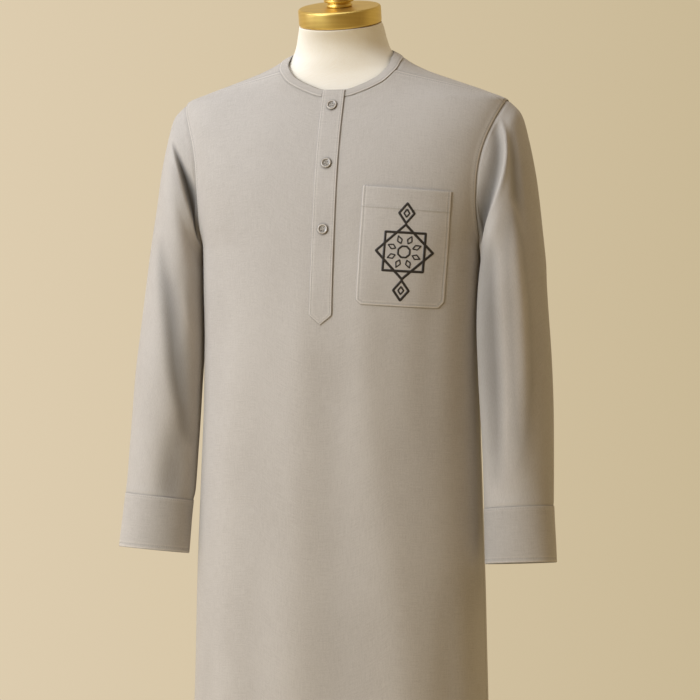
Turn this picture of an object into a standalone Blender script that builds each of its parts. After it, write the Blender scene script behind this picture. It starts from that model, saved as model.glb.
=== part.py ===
"""A man's ankle-length thobe robe, worn by a limbless dress form on a pole stand.

Metres, +Z up. The front of the robe faces -Y and the wearer's left is +X.
The origin is the centre of the stand's underside, on the floor.

Every cloth panel is an open surface on one smooth torso shape, given its wall by Solidify.
The torso shape is a closed curve at each height: |x / half_width|^n + |(y - middle) / depth|^n = 1.
Neighbouring panels share the points of their seam, and stop half a seam gap short of it.
"""

import math

import bmesh
import bpy
import numpy as np
from mathutils import Vector

# Cloth walls and seams
WALL = 0.0012
SEAM_GAP = 0.0006
LIFT = 0.0003

# Heights above the floor
HEM_Z = 0.085
UNDERARM_Z = 1.215
SHOULDER_TIP_Z = 1.430

# Placket, a strip with a pointed end, over a slit in the front
PLACKET_WIDTH = 0.0335
PLACKET_TIP_Z = 1.1080
PLACKET_POINT = 0.014
SLIT_WIDTH = 0.0012

# Chest pocket on the wearer's left, seen from the front, with its two lower corners cut across.
# Columns: x, z
POCKET_OUTLINE = (
    (0.0554, 1.3064),
    (0.1793, 1.2975),
    (0.1711, 1.1410),
    (0.1635, 1.1316),
    (0.0580, 1.1376),
    (0.0508, 1.1440),
)

# Buttons on the placket
BUTTON_HEIGHTS = (1.4215, 1.3380, 1.2440)
BUTTON_RADIUS = 0.0070
BUTTON_THICKNESS = 0.0028
BUTTON_HOLE_RADIUS = 0.0009
BUTTON_HOLE_OFFSET = 0.0019

# Neckband
NECK_CENTRE_Y = -0.012
BAND_GAP = 0.0005

# Neckline seam, round the neck from the front (0 degrees) to the back (180).
# Columns: angle, height, band_lean, band_rise
NECKLINE = (
    (0.0, 1.4350, 0.0055, 0.0095),
    (20.0, 1.4365, 0.0058, 0.0095),
    (40.0, 1.4440, 0.0070, 0.0090),
    (55.0, 1.4550, 0.0088, 0.0080),
    (67.0, 1.4720, 0.0102, 0.0068),
    (80.0, 1.4875, 0.0110, 0.0062),
    (95.0, 1.4950, 0.0105, 0.0066),
    (125.0, 1.5000, 0.0092, 0.0078),
    (180.0, 1.5030, 0.0084, 0.0086),
)

# Armhole, an ellipse in the side view
ARMHOLE_HALF_DEPTH = 0.0575
ARMHOLE_BOW = 0.0060
FRONT_YOKE_PHI = 15.0
BACK_YOKE_PHI = -44.0
NECK_CORNER_PSI = 68.0

# Dress form and stand
FORM_BASE_Z = 0.800
NECK_TOP_Z = 1.542
NECK_SLOPE = math.radians(14.0)
NECK_TOP_Y = -0.028
CAP_RADIUS = 0.0602
CAP_THICKNESS = 0.025
POLE_RADIUS = 0.014
BASE_RADIUS = 0.180
BASE_THICKNESS = 0.014

# Dress form, a body of the same kind of sections, inside the robe.
# Columns: height, half_width, front, back, side_y, squareness
FORM = (
    (0.800, 0.1720, 0.1060, 0.0700, -0.018, 2.15),
    (0.850, 0.1780, 0.1110, 0.0780, -0.018, 2.15),
    (0.920, 0.1740, 0.1110, 0.0800, -0.017, 2.15),
    (1.000, 0.1620, 0.1060, 0.0720, -0.015, 2.15),
    (1.080, 0.1560, 0.1020, 0.0720, -0.013, 2.18),
    (1.160, 0.1680, 0.1020, 0.0820, -0.010, 2.25),
    (1.240, 0.1860, 0.1020, 0.0980, -0.006, 2.35),
    (1.310, 0.2040, 0.0970, 0.1070, -0.002, 2.45),
    (1.360, 0.2170, 0.0870, 0.1060, 0.000, 2.50),
    (1.395, 0.2270, 0.0760, 0.1000, 0.000, 2.50),
    (1.420, 0.2310, 0.0665, 0.0940, 0.000, 2.45),
    (1.4333, 0.2240, 0.0600, 0.0895, 0.000, 2.40),
    (1.4434, 0.2045, 0.0560, 0.0860, 0.000, 2.32),
    (1.4533, 0.1780, 0.0535, 0.0820, 0.000, 2.25),
    (1.4632, 0.1480, 0.0515, 0.0770, -0.001, 2.20),
    (1.4719, 0.1190, 0.0505, 0.0710, -0.003, 2.15),
    (1.478, 0.0975, 0.0505, 0.0645, -0.005, 2.10),
    (1.486, 0.0835, 0.0515, 0.0590, -0.006, 2.05),
    (1.496, 0.0750, 0.0545, 0.0530, -0.007, 2.00),
    (1.510, 0.0700, 0.0615, 0.0475, -0.010, 2.00),
    (1.526, 0.0655, 0.0725, 0.0405, -0.0165, 2.00),
    (1.542, 0.0598, 0.0878, 0.0318, -0.028, 2.00),
)

# Torso shape of the robe, from the hem up.
# Columns: height, half_width, front, back, side_y, squareness
TORSO = (
    (0.085, 0.2370, 0.1640, 0.1180, -0.028, 2.20),
    (0.300, 0.2300, 0.1600, 0.1120, -0.029, 2.20),
    (0.552, 0.2205, 0.1560, 0.1040, -0.030, 2.20),
    (0.743, 0.2150, 0.1500, 0.1000, -0.030, 2.22),
    (0.875, 0.2100, 0.1460, 0.0975, -0.028, 2.25),
    (0.985, 0.2062, 0.1425, 0.0960, -0.025, 2.28),
    (1.080, 0.2054, 0.1390, 0.0975, -0.022, 2.30),
    (1.150, 0.2074, 0.1340, 0.1040, -0.018, 2.36),
    (1.215, 0.2098, 0.1265, 0.1110, -0.012, 2.46),
    (1.260, 0.2188, 0.1195, 0.1150, -0.006, 2.60),
    (1.320, 0.2310, 0.1080, 0.1165, -0.002, 2.70),
    (1.380, 0.2408, 0.0905, 0.1110, 0.000, 2.70),
    (1.410, 0.2440, 0.0785, 0.1050, 0.000, 2.60),
    (1.430, 0.2410, 0.0700, 0.0995, 0.000, 2.45),
    (1.444, 0.2100, 0.0640, 0.0940, 0.000, 2.36),
    (1.458, 0.1700, 0.0605, 0.0860, 0.000, 2.28),
    (1.476, 0.1200, 0.0585, 0.0760, -0.002, 2.20),
    (1.489, 0.0950, 0.0575, 0.0690, -0.004, 2.15),
    (1.500, 0.0820, 0.0570, 0.0620, -0.006, 2.10),
    (1.515, 0.0740, 0.0570, 0.0540, -0.008, 2.05),
    (1.600, 0.0700, 0.0560, 0.0480, -0.010, 2.00),
)

# Sleeve of the wearer's left, from the armhole to the hem of the cuff. Its section leans in to
# the chest by toe_in, and the front of each ring is higher than its back by front_rise.
# Columns: outer_x, outer_z, inner_x, inner_z, centre_y, half_depth, toe_in, front_rise
SLEEVE = (
    (0.2410, 1.4300, 0.2098, 1.2150, -0.004, 0.0575, 0.00, 0.00),
    (0.2604, 1.4116, 0.2110, 1.1950, -0.005, 0.0600, 0.05, 0.00),
    (0.2706, 1.3770, 0.2108, 1.1800, -0.007, 0.0620, 0.12, 0.00),
    (0.2805, 1.3250, 0.2106, 1.1550, -0.013, 0.0625, 0.20, 0.00),
    (0.2872, 1.2700, 0.2112, 1.1270, -0.018, 0.0620, 0.26, 0.02),
    (0.2959, 1.1960, 0.2131, 1.0840, -0.028, 0.0610, 0.30, 0.05),
    (0.3045, 1.1130, 0.2150, 1.0370, -0.035, 0.0590, 0.28, 0.08),
    (0.3131, 1.0230, 0.2169, 0.9800, -0.042, 0.0560, 0.22, 0.11),
    (0.3180, 0.9360, 0.2200, 0.9130, -0.049, 0.0510, 0.14, 0.13),
    (0.3208, 0.8680, 0.2218, 0.8585, -0.056, 0.0462, 0.07, 0.14),
    (0.3217, 0.8515, 0.2225, 0.8435, -0.059, 0.0450, 0.05, 0.14),
    (0.3284, 0.7725, 0.2259, 0.7660, -0.069, 0.0400, 0.00, 0.15),
)
# The wearer's right sleeve hangs a little closer to the body, by this much at its lower half.
RIGHT_SLEEVE_CLOSER = 0.0065
CUFF_STATION = 10.0
LAST_STATION = 11.0
CUFF_GAP_STATION = 0.03
SLEEVE_LEAD = 0.003
SHOULDER_SLOPE = math.radians(24.0)

# Soft folds of the body, as troughs (-) and ridges (+) that run down to the hem.
# Columns: x_top, z_top, x_hem, half_width, rise
FRONT_FOLDS = (
    (-0.028, 1.20, -0.062, 0.030, 0.0034),
    (0.058, 1.25, 0.142, 0.033, 0.0036),
    (-0.132, 1.13, -0.158, 0.032, 0.0034),
    (0.020, 1.00, 0.046, 0.034, -0.0036),
    (-0.170, 0.85, -0.190, 0.026, -0.0036),
    (0.176, 0.78, 0.196, 0.024, -0.0036),
    (-0.095, 0.80, -0.108, 0.026, -0.0030),
)
BACK_FOLDS = (
    (-0.045, 1.22, -0.070, 0.034, -0.0040),
    (0.020, 1.26, 0.012, 0.030, 0.0036),
    (0.085, 1.18, 0.098, 0.032, -0.0042),
    (-0.120, 1.10, -0.140, 0.032, 0.0040),
    (0.150, 1.00, 0.168, 0.028, 0.0036),
    (-0.180, 0.90, -0.196, 0.024, -0.0032),
)

# Folds of the sleeves, as lines between two points of the tube.
# Columns: start_station, start_phi, end_station, end_phi, half_width, rise
LEFT_SLEEVE_FOLDS = (
    (0.5, 58.0, 5.0, 120.0, 0.0210, -0.0100),
    (4.6, 60.0, 9.2, 112.0, 0.0230, -0.0050),
    (1.0, -60.0, 5.6, -115.0, 0.0230, -0.0070),
    (4.8, -30.0, 8.8, -85.0, 0.0230, -0.0045),
)
RIGHT_SLEEVE_FOLDS = (
    (0.5, 60.0, 4.6, 124.0, 0.0210, -0.0100),
    (4.0, 70.0, 9.0, 120.0, 0.0230, -0.0050),
    (1.0, -58.0, 5.2, -118.0, 0.0230, -0.0075),
    (4.6, -42.0, 8.4, -95.0, 0.0230, -0.0045),
)

# Grid lines of the panels. THETA is the angle round the torso, from the side seam to the middle.
THETA = (0.0, 2.5, 10.0, 18.0, 27.0, 36.0, 45.0, 54.0, 60.0, 66.0, 72.0, 78.0, 84.0, 90.0)
NECK_COLUMN = 8
YOKE_ROWS = (0.0, 0.03, 0.18, 0.34, 0.5, 0.66, 0.82, 0.97, 1.0)
BACK_THETA = (0.0, 8.0, 16.0, 26.0, 38.0, 50.0, 63.0, 76.0, 90.0)
FRONT_PHI = (15.0, 19.0, 31.0, 46.0, 62.0, 78.0, 94.0, 110.0, 126.0, 142.0, 160.0, 180.0)
BACK_PHI = (-44.0, -48.0, -62.0, -78.0, -94.0, -110.0, -126.0, -142.0, -160.0, -180.0)
YOKE_PHI = (15.0, 0.0, -15.0, -30.0, -44.0)
YOKE_SIDE_PSI = (68.0, 82.0, 96.0, 110.0, 124.0)
SKIRT_ROWS = 16
SLEEVE_ROWS = 19
CUFF_ROWS = 3


def table_reader(rows, keys):
    """Smooth monotone curves through a table's rows, read at one key or an array of keys."""
    rows = np.array(rows, float)
    keys = np.array(keys, float)
    steps = np.diff(keys)[:, None]
    slopes = np.diff(rows, axis=0) / steps
    tangents = np.zeros_like(rows)
    same_way = slopes[:-1] * slopes[1:] > 0
    safe = np.where(same_way, slopes[:-1] + slopes[1:], 1.0)
    tangents[1:-1] = np.where(same_way, 2 * slopes[:-1] * slopes[1:] / safe, 0.0)
    tangents[0] = slopes[0]
    tangents[-1] = slopes[-1]

    def read(key):
        key = np.clip(np.atleast_1d(np.asarray(key, float)), keys[0], keys[-1])
        index = np.clip(np.searchsorted(keys, key) - 1, 0, len(keys) - 2)
        width = steps[index]
        t = ((key - keys[index]) / width[:, 0])[:, None]
        start, end = rows[index], rows[index + 1]
        rise = 3 * t**2 - 2 * t**3
        return (
            start * (1 - rise)
            + end * rise
            + tangents[index] * width * (t**3 - 2 * t**2 + t)
            + tangents[index + 1] * width * (t**3 - t**2)
        )

    return read


def keyed_table(table):
    """A reader for a table whose first column is its key."""
    return table_reader([row[1:] for row in table], [row[0] for row in table])


torso_at = keyed_table(TORSO)
neckline_at = keyed_table(NECKLINE)
sleeve_at = table_reader(SLEEVE, range(len(SLEEVE)))


def torso_level(points):
    """How far points lie outside the torso shape, as a share of its size: 0 on the surface."""
    half_width, front, back, middle, power = torso_at(points[:, 2]).T
    depth = np.where(points[:, 1] < middle, front + middle, back - middle)
    across = np.abs(points[:, 0] / half_width) ** power
    along = np.abs((points[:, 1] - middle) / depth) ** power
    return (across + along) ** (1 / power) - 1


def torso_slope(points):
    """Gradient of torso_level, by central differences."""
    step = 0.0002
    slope = np.zeros_like(points)
    for axis in range(3):
        offset = np.zeros(3)
        offset[axis] = step
        slope[:, axis] = (torso_level(points + offset) - torso_level(points - offset)) / (2 * step)
    return slope


def onto_torso(points):
    """Moves points onto the torso surface by the shortest way."""
    points = np.array(points, float).reshape(-1, 3)
    for _ in range(12):
        slope = torso_slope(points)
        points = points - slope * (torso_level(points) / (slope**2).sum(1))[:, None]
    return points


def torso_normal(points):
    slope = torso_slope(np.asarray(points, float).reshape(-1, 3))
    return slope / np.linalg.norm(slope, axis=1)[:, None]


def torso_y(x, z, facing):
    """Depth of the torso surface at x and z, on its front (-1) or its back (+1)."""
    half_width, front, back, middle, power = torso_at(z).T
    depth = front + middle if facing < 0 else back - middle
    share = np.clip(1 - np.abs(np.asarray(x) / half_width) ** power, 0, 1)
    return middle + facing * depth * share ** (1 / power)


def armhole(phi):
    """Points of the wearer's left armhole. phi is 0 at the shoulder tip and grows to the front."""
    phi = np.radians(np.atleast_1d(phi))
    middle_z = (SHOULDER_TIP_Z + UNDERARM_Z) / 2
    half_height = (SHOULDER_TIP_Z - UNDERARM_Z) / 2
    z = middle_z + half_height * np.cos(phi)
    underarm_y = torso_at(UNDERARM_Z)[0, 3]
    y = underarm_y * (1 - np.cos(phi)) / 2 - ARMHOLE_HALF_DEPTH * np.sin(phi)
    y += ARMHOLE_BOW * np.sin(2 * phi) * np.where(np.cos(phi) > 0, 1.0, 0.5)
    half_width, front, back, middle, power = torso_at(z).T
    depth = np.where(y < middle, front + middle, back - middle)
    x = half_width * (1 - np.abs((y - middle) / depth) ** power) ** (1 / power)
    return np.stack([x, y, z], 1)


def neckline(psi):
    """A point of the neckline seam, on the torso. psi is 0 at the front and 180 at the back."""
    z = neckline_at(psi)[0, 0]
    psi = math.radians(psi)
    near, far = 0.01, 0.2
    for _ in range(40):
        radius = (near + far) / 2
        point = np.array([[radius * math.sin(psi), NECK_CENTRE_Y - radius * math.cos(psi), z]])
        if torso_level(point)[0] < 0:
            near = radius
        else:
            far = radius
    return point[0]


def fold_wave(distance, half_width):
    return np.exp(-((distance / half_width) ** 2))


def smooth_step(value):
    value = np.clip(value, 0, 1)
    return value * value * (3 - 2 * value)


def body_folds(points, folds):
    """Moves body points out or in along the torso's normal where the folds run."""
    flat = points.reshape(-1, 3)
    rise = np.zeros(len(flat))
    for x_top, z_top, x_hem, half_width, height in folds:
        down = (z_top - flat[:, 2]) / (z_top - HEM_Z)
        line = x_top + (x_hem - x_top) * np.clip(down, 0, 1)
        rise += height * fold_wave(flat[:, 0] - line, half_width) * smooth_step(down * 1.25)
    return (flat + torso_normal(flat) * rise[:, None]).reshape(points.shape)


def skirt_heights():
    """Heights of the panel rows below the underarm, a little closer together at the top."""
    share = np.linspace(0, 1, SKIRT_ROWS + 1)[1:]
    return UNDERARM_Z + (HEM_Z - UNDERARM_Z) * (0.75 * share + 0.25 * share**2)


def body_panel(facing, theta, phi, top_points, folds):
    """Rows and columns of a body panel: armhole to armhole above the underarm, seam to seam below.

    theta and top_points run from the wearer's left side to the middle; the other half mirrors them."""
    power = torso_at(UNDERARM_Z)[0, 4]
    share = np.cos(np.radians(theta)) ** (2 / power)
    share[-1] = 0.0
    edge = armhole(np.array(phi))
    edge_drop = (edge[0, 2] - edge[:, 2]) / (edge[0, 2] - UNDERARM_Z)
    underarm_width = torso_at(UNDERARM_Z)[0, 0]
    rows = []
    for edge_point, drop in zip(edge, edge_drop):
        z = top_points[:, 2] + (UNDERARM_Z - top_points[:, 2]) * drop
        x = top_points[:, 0] + (underarm_width * share - top_points[:, 0]) * drop
        straight = top_points[0, 0] + (underarm_width - top_points[0, 0]) * drop
        x = x + (edge_point[0] - straight) * share**3
        row = np.stack([x, torso_y(x, z, facing), z], 1)
        row[0] = edge_point
        rows.append(row)
    rows[0] = top_points.copy()
    for z in skirt_heights():
        half_width = torso_at(z)[0, 0]
        x = half_width * share
        height = np.full_like(x, z)
        rows.append(np.stack([x, torso_y(x, height, facing), height], 1))
    half = np.array(rows)
    other = half[:, :-1][:, ::-1] * np.array([-1, 1, 1])
    grid = body_folds(np.concatenate([half, other], axis=1), folds)
    grid[: len(phi), 0] = half[: len(phi), 0]
    grid[: len(phi), -1] = other[: len(phi), -1]
    return grid


def front_top():
    """Top edge of the front: the yoke seam from the armhole, then the neckline to the middle."""
    corner = neckline(NECK_CORNER_PSI)
    tip = armhole(FRONT_YOKE_PHI)[0]
    seam_share = 1 - np.array(YOKE_ROWS)[::-1]
    seam = onto_torso(tip + (corner - tip) * seam_share[:, None])
    seam[0], seam[-1] = tip, corner
    count = len(THETA) - NECK_COLUMN
    neck = [neckline(psi) for psi in np.linspace(NECK_CORNER_PSI, 0, count)[1:]]
    return np.concatenate([seam, neck])


def back_top():
    """Top edge of the back: the yoke seam, level from the armhole to the middle."""
    tip = armhole(BACK_YOKE_PHI)[0]
    power = torso_at(tip[2])[0, 4]
    share = np.cos(np.radians(BACK_THETA)) ** (2 / power)
    x = tip[0] * share
    x[-1] = 0.0
    z = np.full_like(x, tip[2])
    return np.stack([x, torso_y(x, z, 1), z], 1)


def yoke_grid(front_edge, back_edge):
    """Columns run round the neck from one front seam to the other; rows run from the neckline out."""
    inner = [neckline(psi) for psi in YOKE_SIDE_PSI]
    outer = list(armhole(np.array(YOKE_PHI)))
    back_psi = np.linspace(YOKE_SIDE_PSI[-1], 180.0, len(back_edge))
    inner += [neckline(psi) for psi in back_psi[1:]]
    outer += list(back_edge[1:])
    inner, outer = np.array(inner), np.array(outer)
    share = np.array(YOKE_ROWS)[:, None, None]
    chords = inner + (outer - inner) * share
    half = onto_torso(chords).reshape(chords.shape)
    half[0], half[-1] = inner, outer
    half[:, 0] = front_edge[: NECK_COLUMN + 1][::-1]
    other = half[:, :-1][:, ::-1] * np.array([-1, 1, 1])
    return np.concatenate([half, other], axis=1)


def sleeve_ring(station, phi):
    """Points of the sleeve tube at a station of the SLEEVE table, without folds."""
    outer_x, outer_z, inner_x, inner_z, centre_y, half_depth, toe_in, rise = sleeve_at(station)[0]
    cosine, sine = np.cos(np.radians(phi)), np.sin(np.radians(phi))
    forward = half_depth * sine
    x = (outer_x + inner_x) / 2 + (outer_x - inner_x) / 2 * cosine - toe_in * forward
    z = (outer_z + inner_z) / 2 + (outer_z - inner_z) / 2 * cosine + rise * forward
    return np.stack([x, centre_y - forward, z], 1)


def sleeve_grid(phi, stations, folds, closer=0.0):
    """Rings of the sleeve tube from the armhole down, for the wearer's left."""
    seam = armhole(phi)
    misfit = seam - sleeve_ring(0.0, phi)
    up = np.maximum(np.cos(np.radians(phi)), 0)
    lead = np.stack([np.cos(SHOULDER_SLOPE * up), 0 * up, -np.sin(SHOULDER_SLOPE * up)], 1)
    rings = []
    for station in stations:
        ring = sleeve_ring(station, phi) + misfit * (1 - smooth_step(station / 2.4))
        lower_half = smooth_step((station - 3.5) / 2.5) * (1 - 0.5 * smooth_step((station - 8) / 3))
        ring[:, 0] -= closer * lower_half * (1 - np.cos(np.radians(phi))) / 2
        rings.append(ring)
    rings = np.array(rings)
    if stations[0] == 0.0:
        rings[0] = seam
        rings[1] = seam + lead * SLEEVE_LEAD
    return sleeve_folds(rings, phi, stations, folds)


def sleeve_folds(rings, phi, stations, folds):
    """Moves sleeve points towards the tube's middle, or away from it, where the folds run."""
    middle = rings.mean(axis=1, keepdims=True)
    outward = rings - middle
    radius = np.linalg.norm(outward, axis=2)
    outward = outward / radius[:, :, None]
    rise = np.zeros(radius.shape)
    for start, phi_start, end, phi_end, half_width, height in folds:
        share = (np.array(stations) - start) / (end - start)
        line = phi_start + (phi_end - phi_start) * np.clip(share, 0, 1)
        turn = (phi[None, :] - line[:, None] + 180) % 360 - 180
        along = np.sin(np.pi * np.clip(share, 0, 1)) ** 0.8
        rise += height * along[:, None] * fold_wave(np.radians(turn) * radius, half_width)
    return rings + outward * rise[:, :, None]


def trim(grid, edges, amount):
    """Draws a grid's edges in towards their neighbours, which leaves half of a seam's gap."""
    grid = grid.copy()
    views = {
        "top": (grid[0], grid[1]),
        "bottom": (grid[-1], grid[-2]),
        "start": (grid[:, 0], grid[:, 1]),
        "end": (grid[:, -1], grid[:, -2]),
    }
    for edge in edges:
        line, next_line = views[edge]
        way = next_line - line
        line += way / np.linalg.norm(way, axis=-1, keepdims=True) * amount
    return grid


def split_quads(mesh):
    """Splits bent quads into triangles, so that every piece made from them keeps the same facets."""
    work = bmesh.new()
    work.from_mesh(mesh)
    bmesh.ops.triangulate(work, faces=work.faces[:], quad_method="SHORT_EDGE")
    work.to_mesh(mesh)
    work.free()


def surface_mesh(name, grid, closed):
    """An open surface through a grid of points. A closed grid joins its last column to its first."""
    rows, columns = grid.shape[:2]
    mesh = bpy.data.meshes.new(name)
    faces = []
    for r in range(rows - 1):
        for c in range(columns if closed else columns - 1):
            d = (c + 1) % columns
            low, high = r * columns, (r + 1) * columns
            faces.append((low + c, low + d, high + d, high + c))
    mesh.from_pydata([tuple(p) for p in grid.reshape(-1, 3)], [], faces)
    split_quads(mesh)
    return mesh


def face_outward(mesh, centre_of):
    """Turns every face so that its normal points away from the middle line that centre_of gives."""
    away = 0.0
    for face in mesh.polygons:
        away += face.normal.dot(face.center - centre_of(face.center)) * face.area
    if away < 0:
        mesh.flip_normals()


def body_axis(point):
    return Vector((0.0, -0.01, point.z - 0.02))


def sleeve_axis(point):
    side = 1 if point.x > 0 else -1
    return Vector((side * (0.225 + (1.43 - point.z) * 0.085), -0.01, point.z))


def add_object(name, mesh, material, collection):
    part = bpy.data.objects.new(name, mesh)
    mesh.materials.append(material)
    mesh.shade_smooth()
    mesh.set_sharp_from_angle(angle=math.radians(40))
    collection.objects.link(part)
    return part


def give_wall(part, thickness, outward=False):
    """A cloth wall, grown into the garment, or outward for a piece that lies on another."""
    wall = part.modifiers.new("wall", "SOLIDIFY")
    wall.thickness = thickness
    wall.offset = 1.0 if outward else -1.0
    wall.use_rim = True
    return part


def cloth_panel(name, grid, material, collection, closed=False, axis=body_axis, thickness=WALL):
    mesh = surface_mesh(name, grid, closed)
    face_outward(mesh, axis)
    part = add_object(name, mesh, material, collection)
    return give_wall(part, thickness)


def cut_slit(mesh, width, bottom_z):
    """Opens a narrow slit in the middle of the front, from the neckline down to bottom_z."""
    work = bmesh.new()
    work.from_mesh(mesh)
    cuts = (
        ((0, 0, 1), (0, 0, bottom_z)),
        ((1, 0, 0), (width / 2, 0, 0)),
        ((1, 0, 0), (-width / 2, 0, 0)),
    )
    for normal, place in cuts:
        lowest = bottom_z if normal[0] else bottom_z - 0.08
        middles = [(f, f.calc_center_median()) for f in work.faces]
        near = [f for f, middle in middles if middle.z > lowest and abs(middle.x) < 0.05]
        geometry = near + list({e for f in near for e in f.edges}) + list({v for f in near for v in f.verts})
        bmesh.ops.bisect_plane(work, geom=geometry, plane_co=place, plane_no=normal, dist=1e-6)
    inside = [
        f
        for f in work.faces
        if abs(f.calc_center_median().x) < width / 2 and f.calc_center_median().z > bottom_z
    ]
    bmesh.ops.delete(work, geom=inside, context="FACES")
    work.to_mesh(mesh)
    work.free()


def patch_mesh(name, panel_mesh, cuts, lift):
    """A piece of a panel's own surface, kept on the inner side of each cut and moved out by lift."""
    work = bmesh.new()
    work.from_mesh(panel_mesh)
    for place, normal in cuts:
        geometry = work.verts[:] + work.edges[:] + work.faces[:]
        bmesh.ops.bisect_plane(
            work, geom=geometry, plane_co=place, plane_no=normal, clear_outer=True, dist=1e-6
        )
    points = np.array([v.co for v in work.verts])
    for vert, out in zip(work.verts, torso_normal(points)):
        vert.co += Vector(out) * lift
    mesh = bpy.data.meshes.new(name)
    work.to_mesh(mesh)
    work.free()
    return mesh


def outline_cuts(outline):
    """Planes through the edges of a convex outline of (x, z) corners, given clockwise from the front."""
    cuts = []
    for start, end in zip(outline, outline[1:] + outline[:1]):
        way = Vector((end[0] - start[0], 0, end[1] - start[1])).normalized()
        cuts.append(((start[0], 0, start[1]), (-way.z, 0, way.x)))
    return cuts


def placket_outline():
    """Corners of the placket. Its top corners lie above the neckline, which ends it."""
    half = PLACKET_WIDTH / 2
    corner = PLACKET_TIP_Z + PLACKET_POINT
    return ((-half, 1.6), (half, 1.6), (half, corner), (0.0, PLACKET_TIP_Z), (-half, corner))


def band_angles():
    """Angles of the neckband's columns: they meet those of the front, yoke and back."""
    near, far = 0.0, 40.0
    for _ in range(30):
        edge_psi = (near + far) / 2
        if neckline(edge_psi)[0] < PLACKET_WIDTH / 2 + SEAM_GAP:
            near = edge_psi
        else:
            far = edge_psi
    front = np.linspace(0, NECK_CORNER_PSI, len(THETA) - NECK_COLUMN)[1:]
    front = front[front > edge_psi + 2]
    back = np.linspace(YOKE_SIDE_PSI[-1], 180.0, len(BACK_THETA))[1:]
    half = [edge_psi, *front, *YOKE_SIDE_PSI[1:], *back]
    return half + [360 - p for p in half[:-1][::-1]]


def band_point(psi, share):
    """A point of the neckband: it rises from the neckline seam and leans in to the neck."""
    turn = 360 - psi if psi > 180 else psi
    height, lean, rise = neckline_at(turn)[0]
    seam = neckline(turn)
    side = -1 if psi > 180 else 1
    inward = np.array([-math.sin(math.radians(turn)), math.cos(math.radians(turn)), 0])
    across = np.array([0, 0, rise]) + inward * lean
    across = across / np.linalg.norm(across)
    length = math.hypot(lean, rise)
    out = np.array([0, 0, math.hypot(across[0], across[1])]) - inward * across[2]
    start = BAND_GAP * (1 - share)
    point = seam + across * (start + length * share) + out * math.sin(share * math.pi) * 0.0007
    return point * np.array([side, 1, 1])


def band_grid():
    """Neckband, in rows from the seam up. It stops at the placket."""
    angles = band_angles()
    grid = np.array([[band_point(psi, share) for psi in angles] for share in (0.0, 0.5, 1.0)])
    grid[:, 0, 0] = PLACKET_WIDTH / 2 + SEAM_GAP
    grid[:, -1, 0] = -PLACKET_WIDTH / 2 - SEAM_GAP
    return grid


def placket_top(mesh):
    """The placket's top follows the neckband: it is carried up and in from the neckline seam."""
    height, lean, rise = neckline_at(0.0)[0]
    work = bmesh.new()
    work.from_mesh(mesh)
    edges = [e for e in work.edges if e.is_boundary and min(v.co.z for v in e.verts) > height - 0.002]
    edges = [e for e in edges if abs(e.verts[0].co.x - e.verts[1].co.x) > 1e-5]
    made = bmesh.ops.extrude_edge_only(work, edges=edges)
    for vert in [g for g in made["geom"] if isinstance(g, bmesh.types.BMVert)]:
        vert.co += Vector((0, lean, rise))
    work.to_mesh(mesh)
    work.free()


def form_rings():
    """Closed rings of the dress form, from its flat base to the sloping top of its neck."""
    angles = np.radians(np.arange(0, 360, 12.0))
    cosine, sine = np.cos(angles), np.sin(angles)
    rings = []
    for z, half_width, front, back, middle, power in FORM:
        depth = np.where(sine < 0, front + middle, back - middle)
        x = half_width * np.sign(cosine) * np.abs(cosine) ** (2 / power)
        y = middle + depth * np.sign(sine) * np.abs(sine) ** (2 / power)
        slope = math.tan(NECK_SLOPE) * smooth_step((z - 1.496) / (NECK_TOP_Z - 1.496))
        rings.append(np.stack([x, y, z + (y - NECK_TOP_Y) * slope], 1))
    return np.array(rings)


def closed_loft(name, rings, material, collection):
    """A solid through closed rings, with a flat face at each end."""
    mesh = surface_mesh(name, rings, True)
    work = bmesh.new()
    work.from_mesh(mesh)
    bmesh.ops.holes_fill(work, edges=[e for e in work.edges if e.is_boundary], sides=0)
    bmesh.ops.recalc_face_normals(work, faces=work.faces[:])
    work.to_mesh(mesh)
    work.free()
    return add_object(name, mesh, material, collection)


def turned(name, profile, material, collection, steps=40):
    """A turned solid: a profile of (radius, height) points, top to bottom, spun about Z."""
    mesh = bpy.data.meshes.new(name)
    edges = [(i, i + 1) for i in range(len(profile) - 1)]
    mesh.from_pydata([(r, 0, z) for r, z in profile], edges, [])
    part = add_object(name, mesh, material, collection)
    spin = part.modifiers.new("spin", "SCREW")
    spin.steps = spin.render_steps = steps
    spin.use_merge_vertices = True
    spin.merge_threshold = 0.00002
    spin.use_smooth_shade = True
    return part


def button_holes(name, collection):
    """Four short pins, joined, that cut the holes of a button."""
    work = bmesh.new()
    for sx in (1, -1):
        for sy in (1, -1):
            made = bmesh.ops.create_cone(
                work,
                cap_ends=True,
                segments=8,
                radius1=BUTTON_HOLE_RADIUS,
                radius2=BUTTON_HOLE_RADIUS,
                depth=BUTTON_THICKNESS * 4,
            )
            shift = Vector((sx * BUTTON_HOLE_OFFSET, sy * BUTTON_HOLE_OFFSET, 0))
            bmesh.ops.translate(work, verts=made["verts"], vec=shift)
    mesh = bpy.data.meshes.new(name)
    work.to_mesh(mesh)
    work.free()
    cutter = bpy.data.objects.new(name, mesh)
    cutter.hide_render = True
    cutter.display_type = "WIRE"
    collection.objects.link(cutter)
    return cutter


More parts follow.
